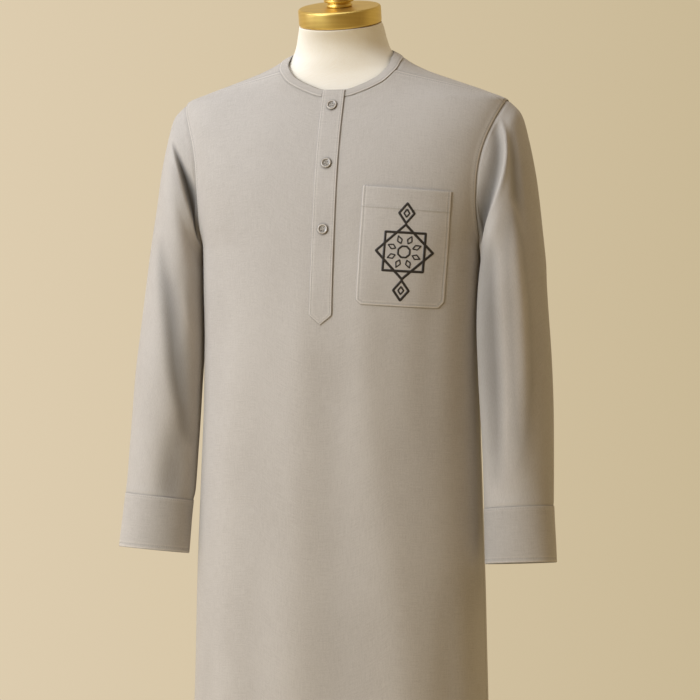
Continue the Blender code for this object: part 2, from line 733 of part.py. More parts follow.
def add_button(number, height, placket_out, material, parts, cutters):
    """A four-hole button with a raised rim, set flat on the placket at a height."""
    radius, thick = BUTTON_RADIUS, BUTTON_THICKNESS
    profile = [
        (0, thick * 0.60),
        (radius * 0.55, thick * 0.62),
        (radius * 0.70, thick * 0.95),
        (radius * 0.84, thick),
        (radius * 0.96, thick * 0.82),
        (radius, thick * 0.55),
        (radius * 0.90, thick * 0.18),
        (radius * 0.62, 0),
        (0, 0),
    ]
    button = turned(f"button_{number}", profile, material, parts, steps=20)
    cutter = button_holes(f"button_holes_{number}", cutters)
    cut = button.modifiers.new("holes", "BOOLEAN")
    cut.object = cutter
    cut.operation = "DIFFERENCE"
    on_front = np.array([[0.0, torso_y(0.0, height, -1)[0], height]])
    out = Vector(torso_normal(on_front)[0])
    place = Vector(on_front[0]) + out * placket_out
    for part in (button, cutter):
        part.rotation_mode = "QUATERNION"
        part.rotation_quaternion = out.to_track_quat("Z", "Y")
        part.location = place


def make_material(name, colour, roughness, metallic=0.0):
    material = bpy.data.materials.new(name)
    material.use_nodes = True
    shader = material.node_tree.nodes["Principled BSDF"]
    shader.inputs["Base Color"].default_value = (*colour, 1.0)
    shader.inputs["Roughness"].default_value = roughness
    shader.inputs["Metallic"].default_value = metallic
    return material


def new_collection(name):
    collection = bpy.data.collections.new(name)
    bpy.context.scene.collection.children.link(collection)
    return collection


def add_body(cloth, parts):
    """Front, back and yoke, and what is sewn onto the front."""
    front_edge, back_edge = front_top(), back_top()
    half_gap = SEAM_GAP / 2
    edges = ("top", "start", "end")
    front = body_panel(-1, THETA, FRONT_PHI, front_edge, FRONT_FOLDS)
    front = trim(front, edges, half_gap)
    back = body_panel(1, BACK_THETA, BACK_PHI, back_edge, BACK_FOLDS)
    back = trim(back, edges, half_gap)
    front_part = cloth_panel("front_panel", front, cloth, parts)
    whole_front = front_part.data.copy()
    slit_end = PLACKET_TIP_Z + PLACKET_POINT + 0.006
    cut_slit(front_part.data, SLIT_WIDTH, slit_end)
    cloth_panel("back_panel", back, cloth, parts)
    yoke = yoke_grid(front_edge, back_edge)
    yoke = trim(yoke, ("top", "bottom", "start", "end"), half_gap)
    yoke = trim(yoke, ("start", "end"), half_gap)
    cloth_panel("yoke", yoke, cloth, parts)

    placket = patch_mesh("placket", whole_front, outline_cuts(placket_outline()), LIFT)
    placket_top(placket)
    give_wall(add_object("placket", placket, cloth, parts), WALL, outward=True)
    pocket = patch_mesh("chest_pocket", whole_front, outline_cuts(POCKET_OUTLINE), LIFT)
    give_wall(add_object("chest_pocket", pocket, cloth, parts), WALL, outward=True)
    bpy.data.meshes.remove(whole_front)
    cloth_panel("neckband", band_grid(), cloth, parts)


def add_sleeves(cloth, parts):
    phi = np.array([*FRONT_PHI, *BACK_PHI[1:-1][::-1], *YOKE_PHI[1:][::-1]])
    upper = np.concatenate([[0.0, 0.05], np.linspace(0.45, CUFF_STATION - CUFF_GAP_STATION, SLEEVE_ROWS)])
    lower = np.linspace(CUFF_STATION, LAST_STATION, CUFF_ROWS)
    sides = (
        (1, "left", LEFT_SLEEVE_FOLDS, 0.0),
        (-1, "right", RIGHT_SLEEVE_FOLDS, RIGHT_SLEEVE_CLOSER),
    )
    for side, name, folds, closer in sides:
        flip = np.array([side, 1, 1])
        sleeve = trim(sleeve_grid(phi, upper, folds, closer), ("top",), SEAM_GAP / 2) * flip
        cloth_panel(f"sleeve_{name}", sleeve, cloth, parts, closed=True, axis=sleeve_axis)
        cuff = sleeve_grid(phi, lower, (), closer) * flip
        cloth_panel(f"cuff_{name}", cuff, cloth, parts, closed=True, axis=sleeve_axis, thickness=WALL * 1.5)


def add_dress_form(linen, brass, parts):
    closed_loft("form_torso", form_rings(), linen, parts)
    cap = turned(
        "neck_cap",
        [
            (0, CAP_THICKNESS),
            (CAP_RADIUS - 0.0025, CAP_THICKNESS),
            (CAP_RADIUS, CAP_THICKNESS - 0.0025),
            (CAP_RADIUS, 0.002),
            (CAP_RADIUS - 0.002, 0),
            (0, 0),
        ],
        brass,
        parts,
    )
    finial = turned(
        "cap_finial",
        [
            (0, 0.0620),
            (0.0085, 0.0605),
            (0.0160, 0.0560),
            (0.0205, 0.0490),
            (0.0215, 0.0420),
            (0.0190, 0.0350),
            (0.0150, 0.0305),
            (0.0150, 0.0275),
            (0.0215, 0.0235),
            (0.0250, 0.0205),
            (0.0255, 0.0165),
            (0.0235, 0.0135),
            (0.0205, 0.0120),
            (0.0225, 0.0100),
            (0.0215, 0.0078),
            (0.0165, 0.0062),
            (0.0185, 0.0040),
            (0.0188, 0),
            (0, 0),
        ],
        brass,
        parts,
        steps=28,
    )
    slope = Vector((0, -math.sin(NECK_SLOPE), math.cos(NECK_SLOPE)))
    seat = Vector((0, NECK_TOP_Y, NECK_TOP_Z))
    cap.location = seat + slope * LIFT
    finial.location = seat + slope * (CAP_THICKNESS + 2 * LIFT)
    for part in (cap, finial):
        part.rotation_euler = (NECK_SLOPE, 0, 0)
    collar_top = 0.060
    turned(
        "stand_base",
        [
            (0, collar_top),
            (0.022, collar_top),
            (0.025, collar_top - 0.003),
            (0.027, 0.030),
            (0.040, 0.022),
            (BASE_RADIUS - 0.020, BASE_THICKNESS + 0.002),
            (BASE_RADIUS - 0.004, BASE_THICKNESS),
            (BASE_RADIUS, BASE_THICKNESS - 0.004),
            (BASE_RADIUS, 0),
            (0, 0),
        ],
        brass,
        parts,
        steps=48,
    )
    pole_low, pole_high = collar_top + LIFT, FORM_BASE_Z - LIFT
    bpy.ops.mesh.primitive_cylinder_add(
        vertices=24,
        radius=POLE_RADIUS,
        depth=pole_high - pole_low,
        location=(0, 0, (pole_low + pole_high) / 2),
    )
    pole = bpy.context.object
    pole.name = pole.data.name = "stand_pole"
    pole.data.materials.append(brass)
    for collection in list(pole.users_collection):
        collection.objects.unlink(pole)
    parts.objects.link(pole)


def main():
    for old in list(bpy.data.objects):
        bpy.data.objects.remove(old)
    parts = new_collection("thobe_on_dress_form")
    cutters = new_collection("cutters")
    cloth = make_material("grey_cloth", (0.50, 0.45, 0.40), 0.85)
    shell = make_material("button_shell", (0.62, 0.56, 0.47), 0.35)
    linen = make_material("form_linen", (0.86, 0.79, 0.66), 0.80)
    brass = make_material("brass", (0.70, 0.47, 0.14), 0.28, 1.0)
    add_body(cloth, parts)
    add_sleeves(cloth, parts)
    placket_out = 2 * LIFT + WALL
    for number, height in enumerate(BUTTON_HEIGHTS, 1):
        add_button(number, height, placket_out, shell, parts, cutters)
    add_dress_form(linen, brass, parts)


main()
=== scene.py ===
"""Looks of a man's ankle-length thobe robe, worn by a limbless dress form on a pole stand.

Metres and +Z up; the tables of shapes, creases and turned profiles are in millimetres. The front
of the robe faces -Y and the wearer's left is +X. Every cloth piece is a thin shell on the shape
of its own solid, in cells of 3 to 6 mm, with creases, lapped seams and stitches. The torso shape
is a closed curve at each height.
"""

import math

import bpy
import numpy as np
from mathutils import Matrix, Vector
from mathutils.bvhtree import BVHTree


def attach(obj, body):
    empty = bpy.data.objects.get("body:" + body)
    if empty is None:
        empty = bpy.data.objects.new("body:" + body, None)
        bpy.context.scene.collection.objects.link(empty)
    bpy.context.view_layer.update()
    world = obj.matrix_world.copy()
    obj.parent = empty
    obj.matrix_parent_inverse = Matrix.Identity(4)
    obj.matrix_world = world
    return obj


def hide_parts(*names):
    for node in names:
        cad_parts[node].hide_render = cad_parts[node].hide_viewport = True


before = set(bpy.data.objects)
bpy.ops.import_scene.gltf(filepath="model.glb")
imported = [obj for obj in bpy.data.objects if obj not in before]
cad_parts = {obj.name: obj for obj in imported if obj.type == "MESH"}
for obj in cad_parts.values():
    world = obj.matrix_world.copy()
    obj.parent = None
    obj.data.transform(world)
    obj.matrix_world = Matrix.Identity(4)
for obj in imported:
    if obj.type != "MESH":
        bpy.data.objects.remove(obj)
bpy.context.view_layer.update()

# Cloth walls, seams and heights, as in the solids
WALL = 0.0012
LIFT = 0.0003
HEM_Z = 0.085
UNDERARM_Z = 1.215
SHOULDER_TIP_Z = 1.430
ARMHOLE_MIDDLE_Z = (SHOULDER_TIP_Z + UNDERARM_Z) / 2
ARMHOLE_HALF_HEIGHT = (SHOULDER_TIP_Z - UNDERARM_Z) / 2
ARMHOLE_HALF_DEPTH = 0.0575
ARMHOLE_BOW = 0.0020
NECK_CENTRE = np.array([0.0, -0.012, 1.40])
PLACKET_WIDTH = 0.0335
PLACKET_TIP_Z = 1.1080
PLACKET_POINT = 0.014
BUTTON_HEIGHTS = (1.4215, 1.3380, 1.2440)
BUTTON_RADIUS = 0.0074
BUTTON_THICKNESS = 0.0028
FORM_BASE_Z = 0.800
NECK_TOP_Z = 1.542
NECK_SLOPE = math.radians(14.0)
NECK_TOP_Y = -0.028
CAP_RADIUS = 0.0602
CAP_THICKNESS = 0.025
POLE_RADIUS = 0.014
BASE_RADIUS = 0.180
BASE_THICKNESS = 0.014
SHOULDER_SLOPE = math.radians(24.0)
SLEEVE_LEAD = 0.003
RIGHT_SLEEVE_CLOSER = 0.0065
CUFF_STATION = 10.0
LAST_STATION = 11.0

# Shown wall of the cloth, and its lapped seams
SHELL = 0.0010
LAP_RISE = 0.0005
LAP_WIDTH = 0.0055
LAP_REACH = 0.0007
UNDER_DROP = 0.0006
STITCH_LENGTH = 0.0024
STITCH_PITCH = 0.0033
STITCH_RADIUS = 0.00030

# Distances of the stitch lines from their edges
STITCH_IN = 0.0043
HEM_STITCH = 0.020
NECKBAND_STITCH = 0.0024
PLACKET_STITCH = 0.0027
CUFF_TOP_STITCH = 0.0028
CUFF_END_STITCH = 0.0060
POCKET_STITCH = 0.0040
POCKET_HEM = 0.0295
POCKET_HEM_STITCH = POCKET_HEM - 0.0016

# Distances from an edge at which a panel has grid lines, and rows and columns between the edges
EDGE_STEPS = (0.0, 0.0007, 0.0016, 0.0028, 0.0036, 0.0043, 0.0050, 0.0060, 0.0076, 0.0105, 0.0145)
SHORT_STEPS = (0.0, 0.0006, 0.0013, 0.0021, 0.0027, 0.0033, 0.0042, 0.0056)
PANEL_COLUMNS = 104
FRONT_ROWS = 38
BACK_ROWS = 34
SKIRT_ROWS = 200
YOKE_SIDE = 41
YOKE_BACK = 61
YOKE_ROWS = 34
SLEEVE_ROWS = 190
CUFF_ROWS = 10

MIRROR = np.array([-1, 1, 1])
MM = 1000.0
ALL_MM = (MM,) * 5

# Pocket corners, as x and z on the front, and its nominal width and height
POCKET_OUTLINE = (
    (0.0554, 1.3064),
    (0.1793, 1.2975),
    (0.1711, 1.1410),
    (0.1635, 1.1316),
    (0.0580, 1.1376),
    (0.0508, 1.1440),
)
POCKET_LOW_WIDTH = 0.1203
POCKET_WIDTH = 0.1222
POCKET_HEIGHT = 0.1640

# Columns: angle in degrees, height, band_lean, band_rise
NECKLINE = (
    (0, 1435, 5.5, 9.5),
    (20, 1436.5, 5.8, 9.5),
    (40, 1444, 7, 9),
    (55, 1455, 8.8, 8),
    (67, 1472, 11.6, 6.8),
    (80, 1487.5, 13.2, 6.2),
    (95, 1495, 12.6, 6.6),
    (125, 1500, 10.6, 7.8),
    (180, 1503, 8.4, 8.6),
)
NECK_CORNER_PSI = 68.0
NECK_CORNER_THETA = 60.0
BACK_CORNER_PSI = 124.0
FRONT_YOKE_PHI = 15.0
BACK_YOKE_PHI = -44.0

# Dress form. Columns: height, half_width, front, back, side_y, squareness
FORM = (
    (800, 172, 106, 70, -18, 2.15),
    (850, 178, 111, 78, -18, 2.15),
    (920, 174, 111, 80, -17, 2.15),
    (1000, 162, 106, 72, -15, 2.15),
    (1080, 156, 102, 72, -13, 2.18),
    (1160, 168, 102, 82, -10, 2.25),
    (1240, 186, 102, 98, -6, 2.35),
    (1310, 204, 97, 107, -2, 2.45),
    (1360, 217, 87, 106, 0, 2.5),
    (1395, 227, 76, 100, 0, 2.5),
    (1420, 231, 66.5, 94, 0, 2.45),
    (1433.3, 224, 60, 89.5, 0, 2.4),
    (1443.4, 204.5, 56, 86, 0, 2.32),
    (1453.3, 178, 53.5, 82, 0, 2.25),
    (1463.2, 148, 51.5, 77, -1, 2.2),
    (1471.9, 120, 50.5, 71, -3, 2.15),
    (1478, 101, 51, 64.5, -5, 2.1),
    (1486, 87.5, 52.5, 59, -6, 2.05),
    (1496, 77.5, 55, 53, -7, 2),
    (1510, 70.6, 61.5, 47.5, -10, 2),
    (1526, 65.5, 72.5, 40.5, -16.5, 2),
    (1542, 59.8, 87.8, 31.8, -28, 2),
)

# Torso shape of the robe. Columns: height, half_width, front, back, side_y, squareness
TORSO = (
    (85, 237, 164, 118, -28, 2.2),
    (300, 230, 160, 112, -29, 2.2),
    (552, 220.5, 156, 104, -30, 2.2),
    (743, 215, 150, 100, -30, 2.22),
    (875, 210, 146, 97.5, -28, 2.25),
    (985, 206.2, 142.5, 96, -25, 2.28),
    (1080, 205.4, 139, 97.5, -22, 2.3),
    (1150, 207.4, 134, 104, -18, 2.36),
    (1215, 209.8, 126.5, 111, -12, 2.46),
    (1260, 218.8, 119.5, 115, -6, 2.6),
    (1320, 231, 108, 116.5, -2, 2.7),
    (1380, 240.8, 90.5, 111, 0, 2.7),
    (1410, 244, 78.5, 105, 0, 2.6),
    (1430, 241, 70, 99.5, 0, 2.45),
    (1444, 210, 64, 94, 0, 2.36),
    (1458, 170, 60.5, 86, 0, 2.28),
    (1476, 120, 58.5, 76, -2, 2.2),
    (1489, 95, 57.5, 69, -4, 2.15),
    (1500, 82, 57, 62, -6, 2.1),
    (1515, 74, 57, 54, -8, 2.05),
    (1600, 70, 56, 48, -10, 2),
)

# Sleeve of the wearer's left.
# Columns: outer_x, outer_z, inner_x, inner_z, centre_y, half_depth, toe_in, front_rise
SLEEVE = (
    (241, 1430, 209.8, 1215, -4, 57.5, 0, 0),
    (260.4, 1411.6, 211, 1195, -5, 60, 0.05, 0),
    (270.6, 1377, 210.8, 1180, -7, 62, 0.12, 0),
    (280.5, 1325, 210.6, 1155, -13, 62.5, 0.2, 0),
    (287.2, 1270, 211.2, 1127, -18, 62, 0.26, 0.02),
    (295.9, 1196, 213.1, 1084, -28, 61, 0.3, 0.05),
    (304.5, 1113, 215, 1037, -35, 59, 0.28, 0.08),
    (313.1, 1023, 216.9, 980, -42, 56, 0.22, 0.11),
    (318, 936, 220, 913, -49, 51, 0.14, 0.13),
    (320.8, 868, 221.8, 858.5, -56, 46.2, 0.07, 0.14),
    (321.7, 851.5, 222.5, 843.5, -59, 45, 0.05, 0.14),
    (328.4, 772.5, 225.9, 766, -69, 40, 0, 0.15),
)

# Creases of the front and back, each a path down the cloth of ridges (+) and troughs (-).
# Columns of a path: x, z, half_width, rise, or x, z, width towards +X, other width, rise
FRONT_CREASES = (
    ((-26, 1200, 22, 0), (-30, 1100, 26, 2.2), (-36, 950, 30, 3), (-42, 700, 34, 3.2),
     (-62, 85, 40, 4.5)),
    ((56, 1250, 18, 0), (60, 1160, 22, 1.8), (66, 1000, 26, 2.6), (94, 800, 34, 3.2),
     (122, 600, 36, 3.6), (142, 85, 38, 5)),
    ((-132, 1130, 26, 0), (-138, 1000, 30, 2.2), (-150, 750, 32, 3), (-158, 85, 36, 4.2)),
    ((16, 1120, 22, 0), (20, 950, 26, -1.4), (30, 700, 34, -2.6), (46, 85, 40, -4.4)),
    ((-168, 850, 20, 0), (-176, 600, 24, -2.2), (-190, 85, 28, -4)),
    ((176, 780, 18, 0), (184, 500, 22, -2.6), (196, 85, 26, -4)),
    ((-95, 800, 18, 0), (-100, 500, 24, -2), (-108, 85, 28, -3.6)),
    ((170, 1230, 14, 0), (160, 1160, 18, -1.6), (148, 1050, 24, -2), (150, 900, 26, 0)),
    ((-176, 1235, 12, 0), (-168, 1170, 18, -1.6), (-160, 1070, 22, -1.4), (-160, 940, 26, 0)),
)
BACK_CREASES = (
    ((-45, 1300, 22, 0), (-52, 1160, 28, -3), (-60, 800, 32, -4), (-72, 85, 36, -5)),
    ((22, 1330, 20, 0), (18, 1180, 26, 2.6), (14, 800, 30, 3.6), (10, 85, 34, 4.6)),
    ((86, 1270, 22, 0), (90, 1100, 28, -3.4), (95, 700, 32, -4.4), (100, 85, 34, -5.2)),
    ((-118, 1200, 24, 0), (-124, 1000, 30, 3.4), (-134, 600, 32, 4.2), (-142, 85, 34, 5)),
    ((150, 1090, 20, 0), (154, 900, 26, 3), (162, 500, 28, 3.8), (170, 85, 30, 4.2)),
    ((-182, 980, 16, 0), (-188, 600, 22, -2.8), (-198, 85, 24, -3.6)),
    ((-150, 1330, 10, 0), (-128, 1285, 14, -3), (-95, 1230, 18, -2.2), (-60, 1190, 22, 0)),
    ((158, 1320, 10, 0), (140, 1270, 14, -3.4), (118, 1210, 18, -2.4), (100, 1150, 22, 0)),
)

# Creases of the sleeves. Columns of a path: station, angle in degrees, half_width, rise, or as
# above with two widths, of which the first is on the side away from the body.
RIGHT_SLEEVE_CREASES = (
    ((1.44, 40, 1.8, 3, 0), (1.36, 56, 2.2, 4.6, -5), (1.26, 70, 2.6, 6.2, -10),
     (1.14, 83, 2.9, 8.8, -12.5), (1.01, 95, 3, 12.5, -13), (0.86, 107, 3, 13, -12),
     (0.69, 120, 3, 11.5, -10), (0.53, 134, 3, 8, -6.5), (0.44, 150, 3, 5, 0)),
    ((2.05, 46, 6, 4, 0), (1.86, 60, 9, 4, 1), (1.68, 76, 12, 4.5, 1.8), (1.5, 92, 14, 4.5, 2),
     (1.33, 108, 14, 4.5, 1.2), (1.2, 126, 12, 5, 0)),
    ((4.2, 44, 10, 0), (4.75, 58, 11, 13, -3), (5.15, 74, 12, 16, -5.2), (5.8, 91, 12, 18, -6.2),
     (6.45, 106, 12, 18, -5.8), (7, 123, 12, 15, -4.8), (7.5, 138, 12, -3), (7.9, 152, 12, 0)),
    ((3.3, 118, 10, 0), (4, 115, 12, 1), (4.9, 114, 13, 1.2), (5.7, 113, 13, 0.8),
     (6.2, 114, 12, 0)),
    ((7.2, 124, 14, 0), (7.9, 121, 18, -2), (8.7, 120, 20, -3), (9.5, 120, 20, -2.6),
     (10.1, 120, 18, -1.2)),
    ((0.8, -58, 6, 0), (1.6, -74, 9, -6), (2.7, -92, 12, -7.5), (4, -106, 15, -6),
     (5.3, -118, 16, 0)),
    ((4.6, -40, 12, 0), (5.6, -56, 16, -3.8), (6.9, -74, 17, -4.6), (8.4, -96, 15, 0)),
    ((4.8, -150, 6, 0), (5.1, -128, 8, -3), (5.3, -108, 8, -2.6), (5.35, -88, 8, 0)),
)
LEFT_SLEEVE_CREASES = (
    ((0.2, 36, 3.2, 2.2, 0), (0.6, 41, 3.6, 2.2, 1.4), (1.15, 45, 3.8, 2.4, 2.2),
     (1.8, 52, 4.2, 2.6, 2.4), (2.15, 64, 4.8, 2.8, 2), (2.25, 77, 5.6, 3, 1.4),
     (2.15, 93, 6.6, 3.4, 1), (1.8, 113, 7, 3.6, 0.6), (1.15, 138, 6, 0)),
    ((0.16, 42, 3.4, 0), (0.54, 50, 4.6, 7, -3), (0.98, 57, 6, 10, -4.8), (1.4, 67, 6.8, 13, -6),
     (1.56, 79, 7, 15, -7), (1.5, 93, 6.6, 15, -8.8), (1.29, 109, 5.6, 13, -10.6),
     (0.99, 126, 5.2, 10, -9.8), (0.66, 145, 5.6, 0)),
    ((1, 33, 6, 0), (2, 37, 8, -2.6), (3, 37, 9.5, -3.2), (3.9, 35, 10, -1.4), (4.6, 35, 10, 0)),
    ((3.2, 46, 12, 0), (4.2, 46, 14, 3.8), (5.4, 46, 16, 5.6), (6.5, 51, 16, 5), (7.6, 62, 16, 3),
     (8.6, 74, 14, 0)),
    ((3, 92, 9, 14, 0), (4.1, 91, 11, 26, -3.6), (5.2, 92, 12, 28, -5.2), (6.4, 97, 12, 26, -5.4),
     (7.6, 107, 12, 20, -3.8), (8.8, 119, 12, 14, 0)),
    ((0.9, -60, 6, 0), (1.8, -76, 9, -5.6), (2.9, -92, 12, -7), (4.3, -104, 15, -5.6),
     (5.6, -116, 16, 0)),
    ((4.9, -30, 12, 0), (6, -46, 16, -4), (7.4, -66, 17, -4.4), (8.8, -86, 15, 0)),
    ((5.2, -152, 6, 0), (5.45, -130, 8, -2.8), (5.6, -110, 8, -2.4), (5.6, -90, 8, 0)),
)


# ---------------------------------------------------------------- curves and surfaces
def table_reader(rows, keys):
    """Smooth monotone curves through a table's rows, read at one key or an array of keys."""
    rows = np.array(rows, float)
    keys = np.array(keys, float)
    steps = np.diff(keys)[:, None]
    slopes = np.diff(rows, axis=0) / steps
    tangents = np.zeros_like(rows)
    same_way = slopes[:-1] * slopes[1:] > 0
    safe = np.where(same_way, slopes[:-1] + slopes[1:], 1.0)
    tangents[1:-1] = np.where(same_way, 2 * slopes[:-1] * slopes[1:] / safe, 0.0)
    tangents[0] = slopes[0]
    tangents[-1] = slopes[-1]

    def read(key):
        key = np.clip(np.atleast_1d(np.asarray(key, float)), keys[0], keys[-1])
        index = np.clip(np.searchsorted(keys, key) - 1, 0, len(keys) - 2)
        width = steps[index]
        t = ((key - keys[index]) / width[:, 0])[:, None]
        start, end = rows[index], rows[index + 1]
        rise = 3 * t**2 - 2 * t**3
        return (
            start * (1 - rise)
            + end * rise
            + tangents[index] * width * (t**3 - 2 * t**2 + t)
            + tangents[index + 1] * width * (t**3 - t**2)
        )

    return read


def keyed_table(table, units):
    """A reader of a table by its first column, with every column divided by its unit."""
    table = np.array(table) / units
    return table_reader(table[:, 1:], table[:, 0])


torso_at = keyed_table(TORSO, (*ALL_MM, 1))
form_at = keyed_table(FORM, (*ALL_MM, 1))
neckline_at = keyed_table(NECKLINE, (1, MM, MM, MM))
sleeve_rows = np.array(SLEEVE) / (*ALL_MM, MM, 1, 1)
sleeve_at = table_reader(sleeve_rows, range(len(SLEEVE)))


def smooth_step(value):
    value = np.clip(value, 0, 1)
    return value * value * (3 - 2 * value)


def bell(distance, width):
    return np.exp(-((distance / width) ** 2))


def unit(vectors):
    return vectors / np.maximum(np.linalg.norm(vectors, axis=-1, keepdims=True), 1e-12)


def turns_of(count):
    """Evenly spaced angles round a circle."""
    return np.arange(count) * 2 * math.pi / count


def torso_level(points):
    """How far points lie outside the torso shape, as a share of its size: 0 on the surface."""
    half_width, front, back, middle, power = torso_at(points[:, 2]).T
    depth = np.where(points[:, 1] < middle, front + middle, back - middle)
    across = np.abs(points[:, 0] / half_width) ** power
    along = np.abs((points[:, 1] - middle) / depth) ** power
    return (across + along) ** (1 / power) - 1


def torso_slope(points):
    step = 0.0002
    slope = np.zeros_like(points)
    for axis in range(3):
        offset = np.zeros(3)
        offset[axis] = step
        slope[:, axis] = (torso_level(points + offset) - torso_level(points - offset)) / (2 * step)
    return slope


def onto_torso(points):
    """Moves points onto the torso surface by the shortest way."""
    shape = points.shape
    points = np.array(points, float).reshape(-1, 3)
    for _ in range(10):
        slope = torso_slope(points)
        points = points - slope * (torso_level(points) / (slope**2).sum(1))[:, None]
    return points.reshape(shape)


def torso_normal(points):
    flat = np.asarray(points, float).reshape(-1, 3)
    return unit(torso_slope(flat)).reshape(points.shape)


def torso_y(x, z, facing):
    """Depth of the torso surface at x and z, on its front (-1) or its back (+1)."""
    half_width, front, back, middle, power = torso_at(np.ravel(z)).T
    depth = front + middle if facing < 0 else back - middle
    share = np.clip(1 - np.abs(np.ravel(x) / half_width) ** power, 0, 1)
    return (middle + facing * depth * share ** (1 / power)).reshape(np.shape(x))


def on_body(x, z, facing):
    x, z = np.broadcast_arrays(np.asarray(x, float), np.asarray(z, float))
    return np.stack([x, torso_y(x, z, facing), z], -1)


def armhole(phi):
    """Points of the armhole of the wearer's left. phi is 0 at the shoulder tip, more in front."""
    shape = np.shape(phi)
    phi = np.radians(np.ravel(phi))
    z = ARMHOLE_MIDDLE_Z + ARMHOLE_HALF_HEIGHT * np.cos(phi)
    underarm_y = torso_at(UNDERARM_Z)[0, 3]
    y = underarm_y * (1 - np.cos(phi)) / 2 - ARMHOLE_HALF_DEPTH * np.sin(phi)
    y += ARMHOLE_BOW * np.sin(2 * phi) * np.where(np.cos(phi) > 0, 1.0, 0.5)
    half_width, front, back, middle, power = torso_at(z).T
    depth = np.where(y < middle, front + middle, back - middle)
    x = half_width * (1 - np.abs((y - middle) / depth) ** power) ** (1 / power)
    return np.stack([x, y, z], 1).reshape(*shape, 3)


def armhole_lead(cosine):
    """The way a sleeve leaves the armhole, out and down a little at the shoulder."""
    up = SHOULDER_SLOPE * np.maximum(cosine, 0)
    return np.stack([np.cos(up), 0 * up, -np.sin(up)], -1)


def armhole_cosine(points):
    """Cosine of the armhole angle of points on or near the armhole."""
    return np.clip((points[..., 2] - ARMHOLE_MIDDLE_Z) / ARMHOLE_HALF_HEIGHT, -1, 1)


def neckline(psi):
    """Points of the neckline seam. psi is 0 at the front and 180 at the back."""
    psi = np.atleast_1d(np.asarray(psi, float))
    z = neckline_at(psi)[:, 0]
    turn = np.radians(psi)
    near, far = np.full(len(psi), 0.01), np.full(len(psi), 0.2)
    for _ in range(36):
        radius = (near + far) / 2
        points = np.stack([radius * np.sin(turn), NECK_CENTRE[1] - radius * np.cos(turn), z], 1)
        inside = torso_level(points) < 0
        near = np.where(inside, radius, near)
        far = np.where(inside, far, radius)
    return points


def sleeve_points(station, phi, closer):
    """Points of the sleeve tube of the wearer's left, at arrays of stations and angles."""
    station, phi = np.broadcast_arrays(np.asarray(station, float), np.asarray(phi, float))
    row = sleeve_at(station.ravel()).reshape(*station.shape, 8)
    outer_x, outer_z, inner_x, inner_z, centre_y, half_depth, toe_in, rise = np.moveaxis(row, -1, 0)
    cosine, sine = np.cos(np.radians(phi)), np.sin(np.radians(phi))
    forward = half_depth * sine
    x = (outer_x + inner_x) / 2 + (outer_x - inner_x) / 2 * cosine - toe_in * forward
    z = (outer_z + inner_z) / 2 + (outer_z - inner_z) / 2 * cosine + rise * forward
    points = np.stack([x, centre_y - forward, z], -1)
    # The tube starts on the armhole itself and comes to its own shape further down
    first = sleeve_rows[0]
    start_x = (first[0] + first[2]) / 2 + (first[0] - first[2]) / 2 * cosine
    start_z = (first[1] + first[3]) / 2 + (first[1] - first[3]) / 2 * cosine
    start = np.stack([start_x, first[4] - first[5] * sine, start_z], -1)
    points = points + (armhole(phi) - start) * (1 - smooth_step(station / 2.4))[..., None]
    lower = smooth_step((station - 3.5) / 2.5) * (1 - 0.5 * smooth_step((station - 8) / 3))
    points[..., 0] -= closer * lower * (1 - cosine) / 2
    lead = smooth_step(station / 0.10) * (1 - smooth_step((station - 0.05) / 0.55))
    lead = lead * (1 - 0.8 * smooth_step(-cosine / 0.35))
    return points + armhole_lead(cosine) * (SLEEVE_LEAD * lead)[..., None]


# ---------------------------------------------------------------- creases, edges, and painted light and shade
def crease_rise(points, paths):
    """How far each point is moved out by creases: paths with widths on both sides, and rises.

    The side towards +X is as wide as the first column of widths says, the other as the second."""
    flat = points.reshape(-1, 3)
    rise = np.zeros(len(flat))
    for places, widths, others, rises in paths:
        apart = flat[:, None] - places[None]
        nearest = (apart**2).sum(2).argmin(1)
        low = np.clip(nearest - 1, 0, len(places) - 1)
        high = np.clip(nearest + 1, 0, len(places) - 1)
        way = places[high] - places[low]
        along = (apart[np.arange(len(flat)), nearest] * way).sum(1) / (way**2).sum(1)
        key = np.clip(nearest + along * (high - low), 0, len(places) - 1)
        base = np.clip(key.astype(int), 0, len(places) - 2)
        part = (key - base)[:, None]
        spot = places[base] * (1 - part) + places[base + 1] * part
        gap = ((flat - spot) ** 2).sum(1)
        count = np.arange(len(widths))
        side = smooth_step(0.5 + (flat - spot)[:, 0] / 0.0016)
        width = np.interp(key, count, widths) * side + np.interp(key, count, others) * (1 - side)
        rise += np.interp(key, count, rises) * np.exp(-gap / width**2)
    return rise.reshape(points.shape[:-1])


def crease_paths(creases, units, place):
    """Paths read finely along each crease. A crease with one width has it on both sides."""
    paths = []
    for crease in creases:
        rows = [row if len(row) == 5 else (*row[:3], *row[2:]) for row in crease]
        read = table_reader(np.array(rows) / units, range(len(rows)))
        first, second, *others = read(np.linspace(0, len(rows) - 1, 40)).T
        paths.append((place(first, second), *others))
    return paths


FRONT_PATHS = crease_paths(FRONT_CREASES, ALL_MM, lambda x, z: on_body(x, z, -1))
BACK_PATHS = crease_paths(BACK_CREASES, ALL_MM, lambda x, z: on_body(x, z, 1))


def over_edge(distance):
    """Outer height of an edge that lies over its neighbour: a folded hem, a sunk stitch line."""
    lap = LAP_RISE * (1 - smooth_step((distance - LAP_WIDTH + 0.0006) / 0.0018))
    return lap - 0.00032 * bell(distance - STITCH_IN, 0.0007) - 0.0004 * bell(distance, 0.0006)


def under_edge(distance):
    return -UNDER_DROP * (1 - smooth_step((distance - 0.0022) / 0.0040))


def plain_edge(distance):
    """A plain sewn seam: both edges sink a little, with a faint pucker."""
    return -0.0009 * bell(distance, 0.0017)


def border(distance, width=0.0008, drop=0.0007):
    """An edge that turns under: it falls away over its last millimetre."""
    return -drop * bell(distance, width)


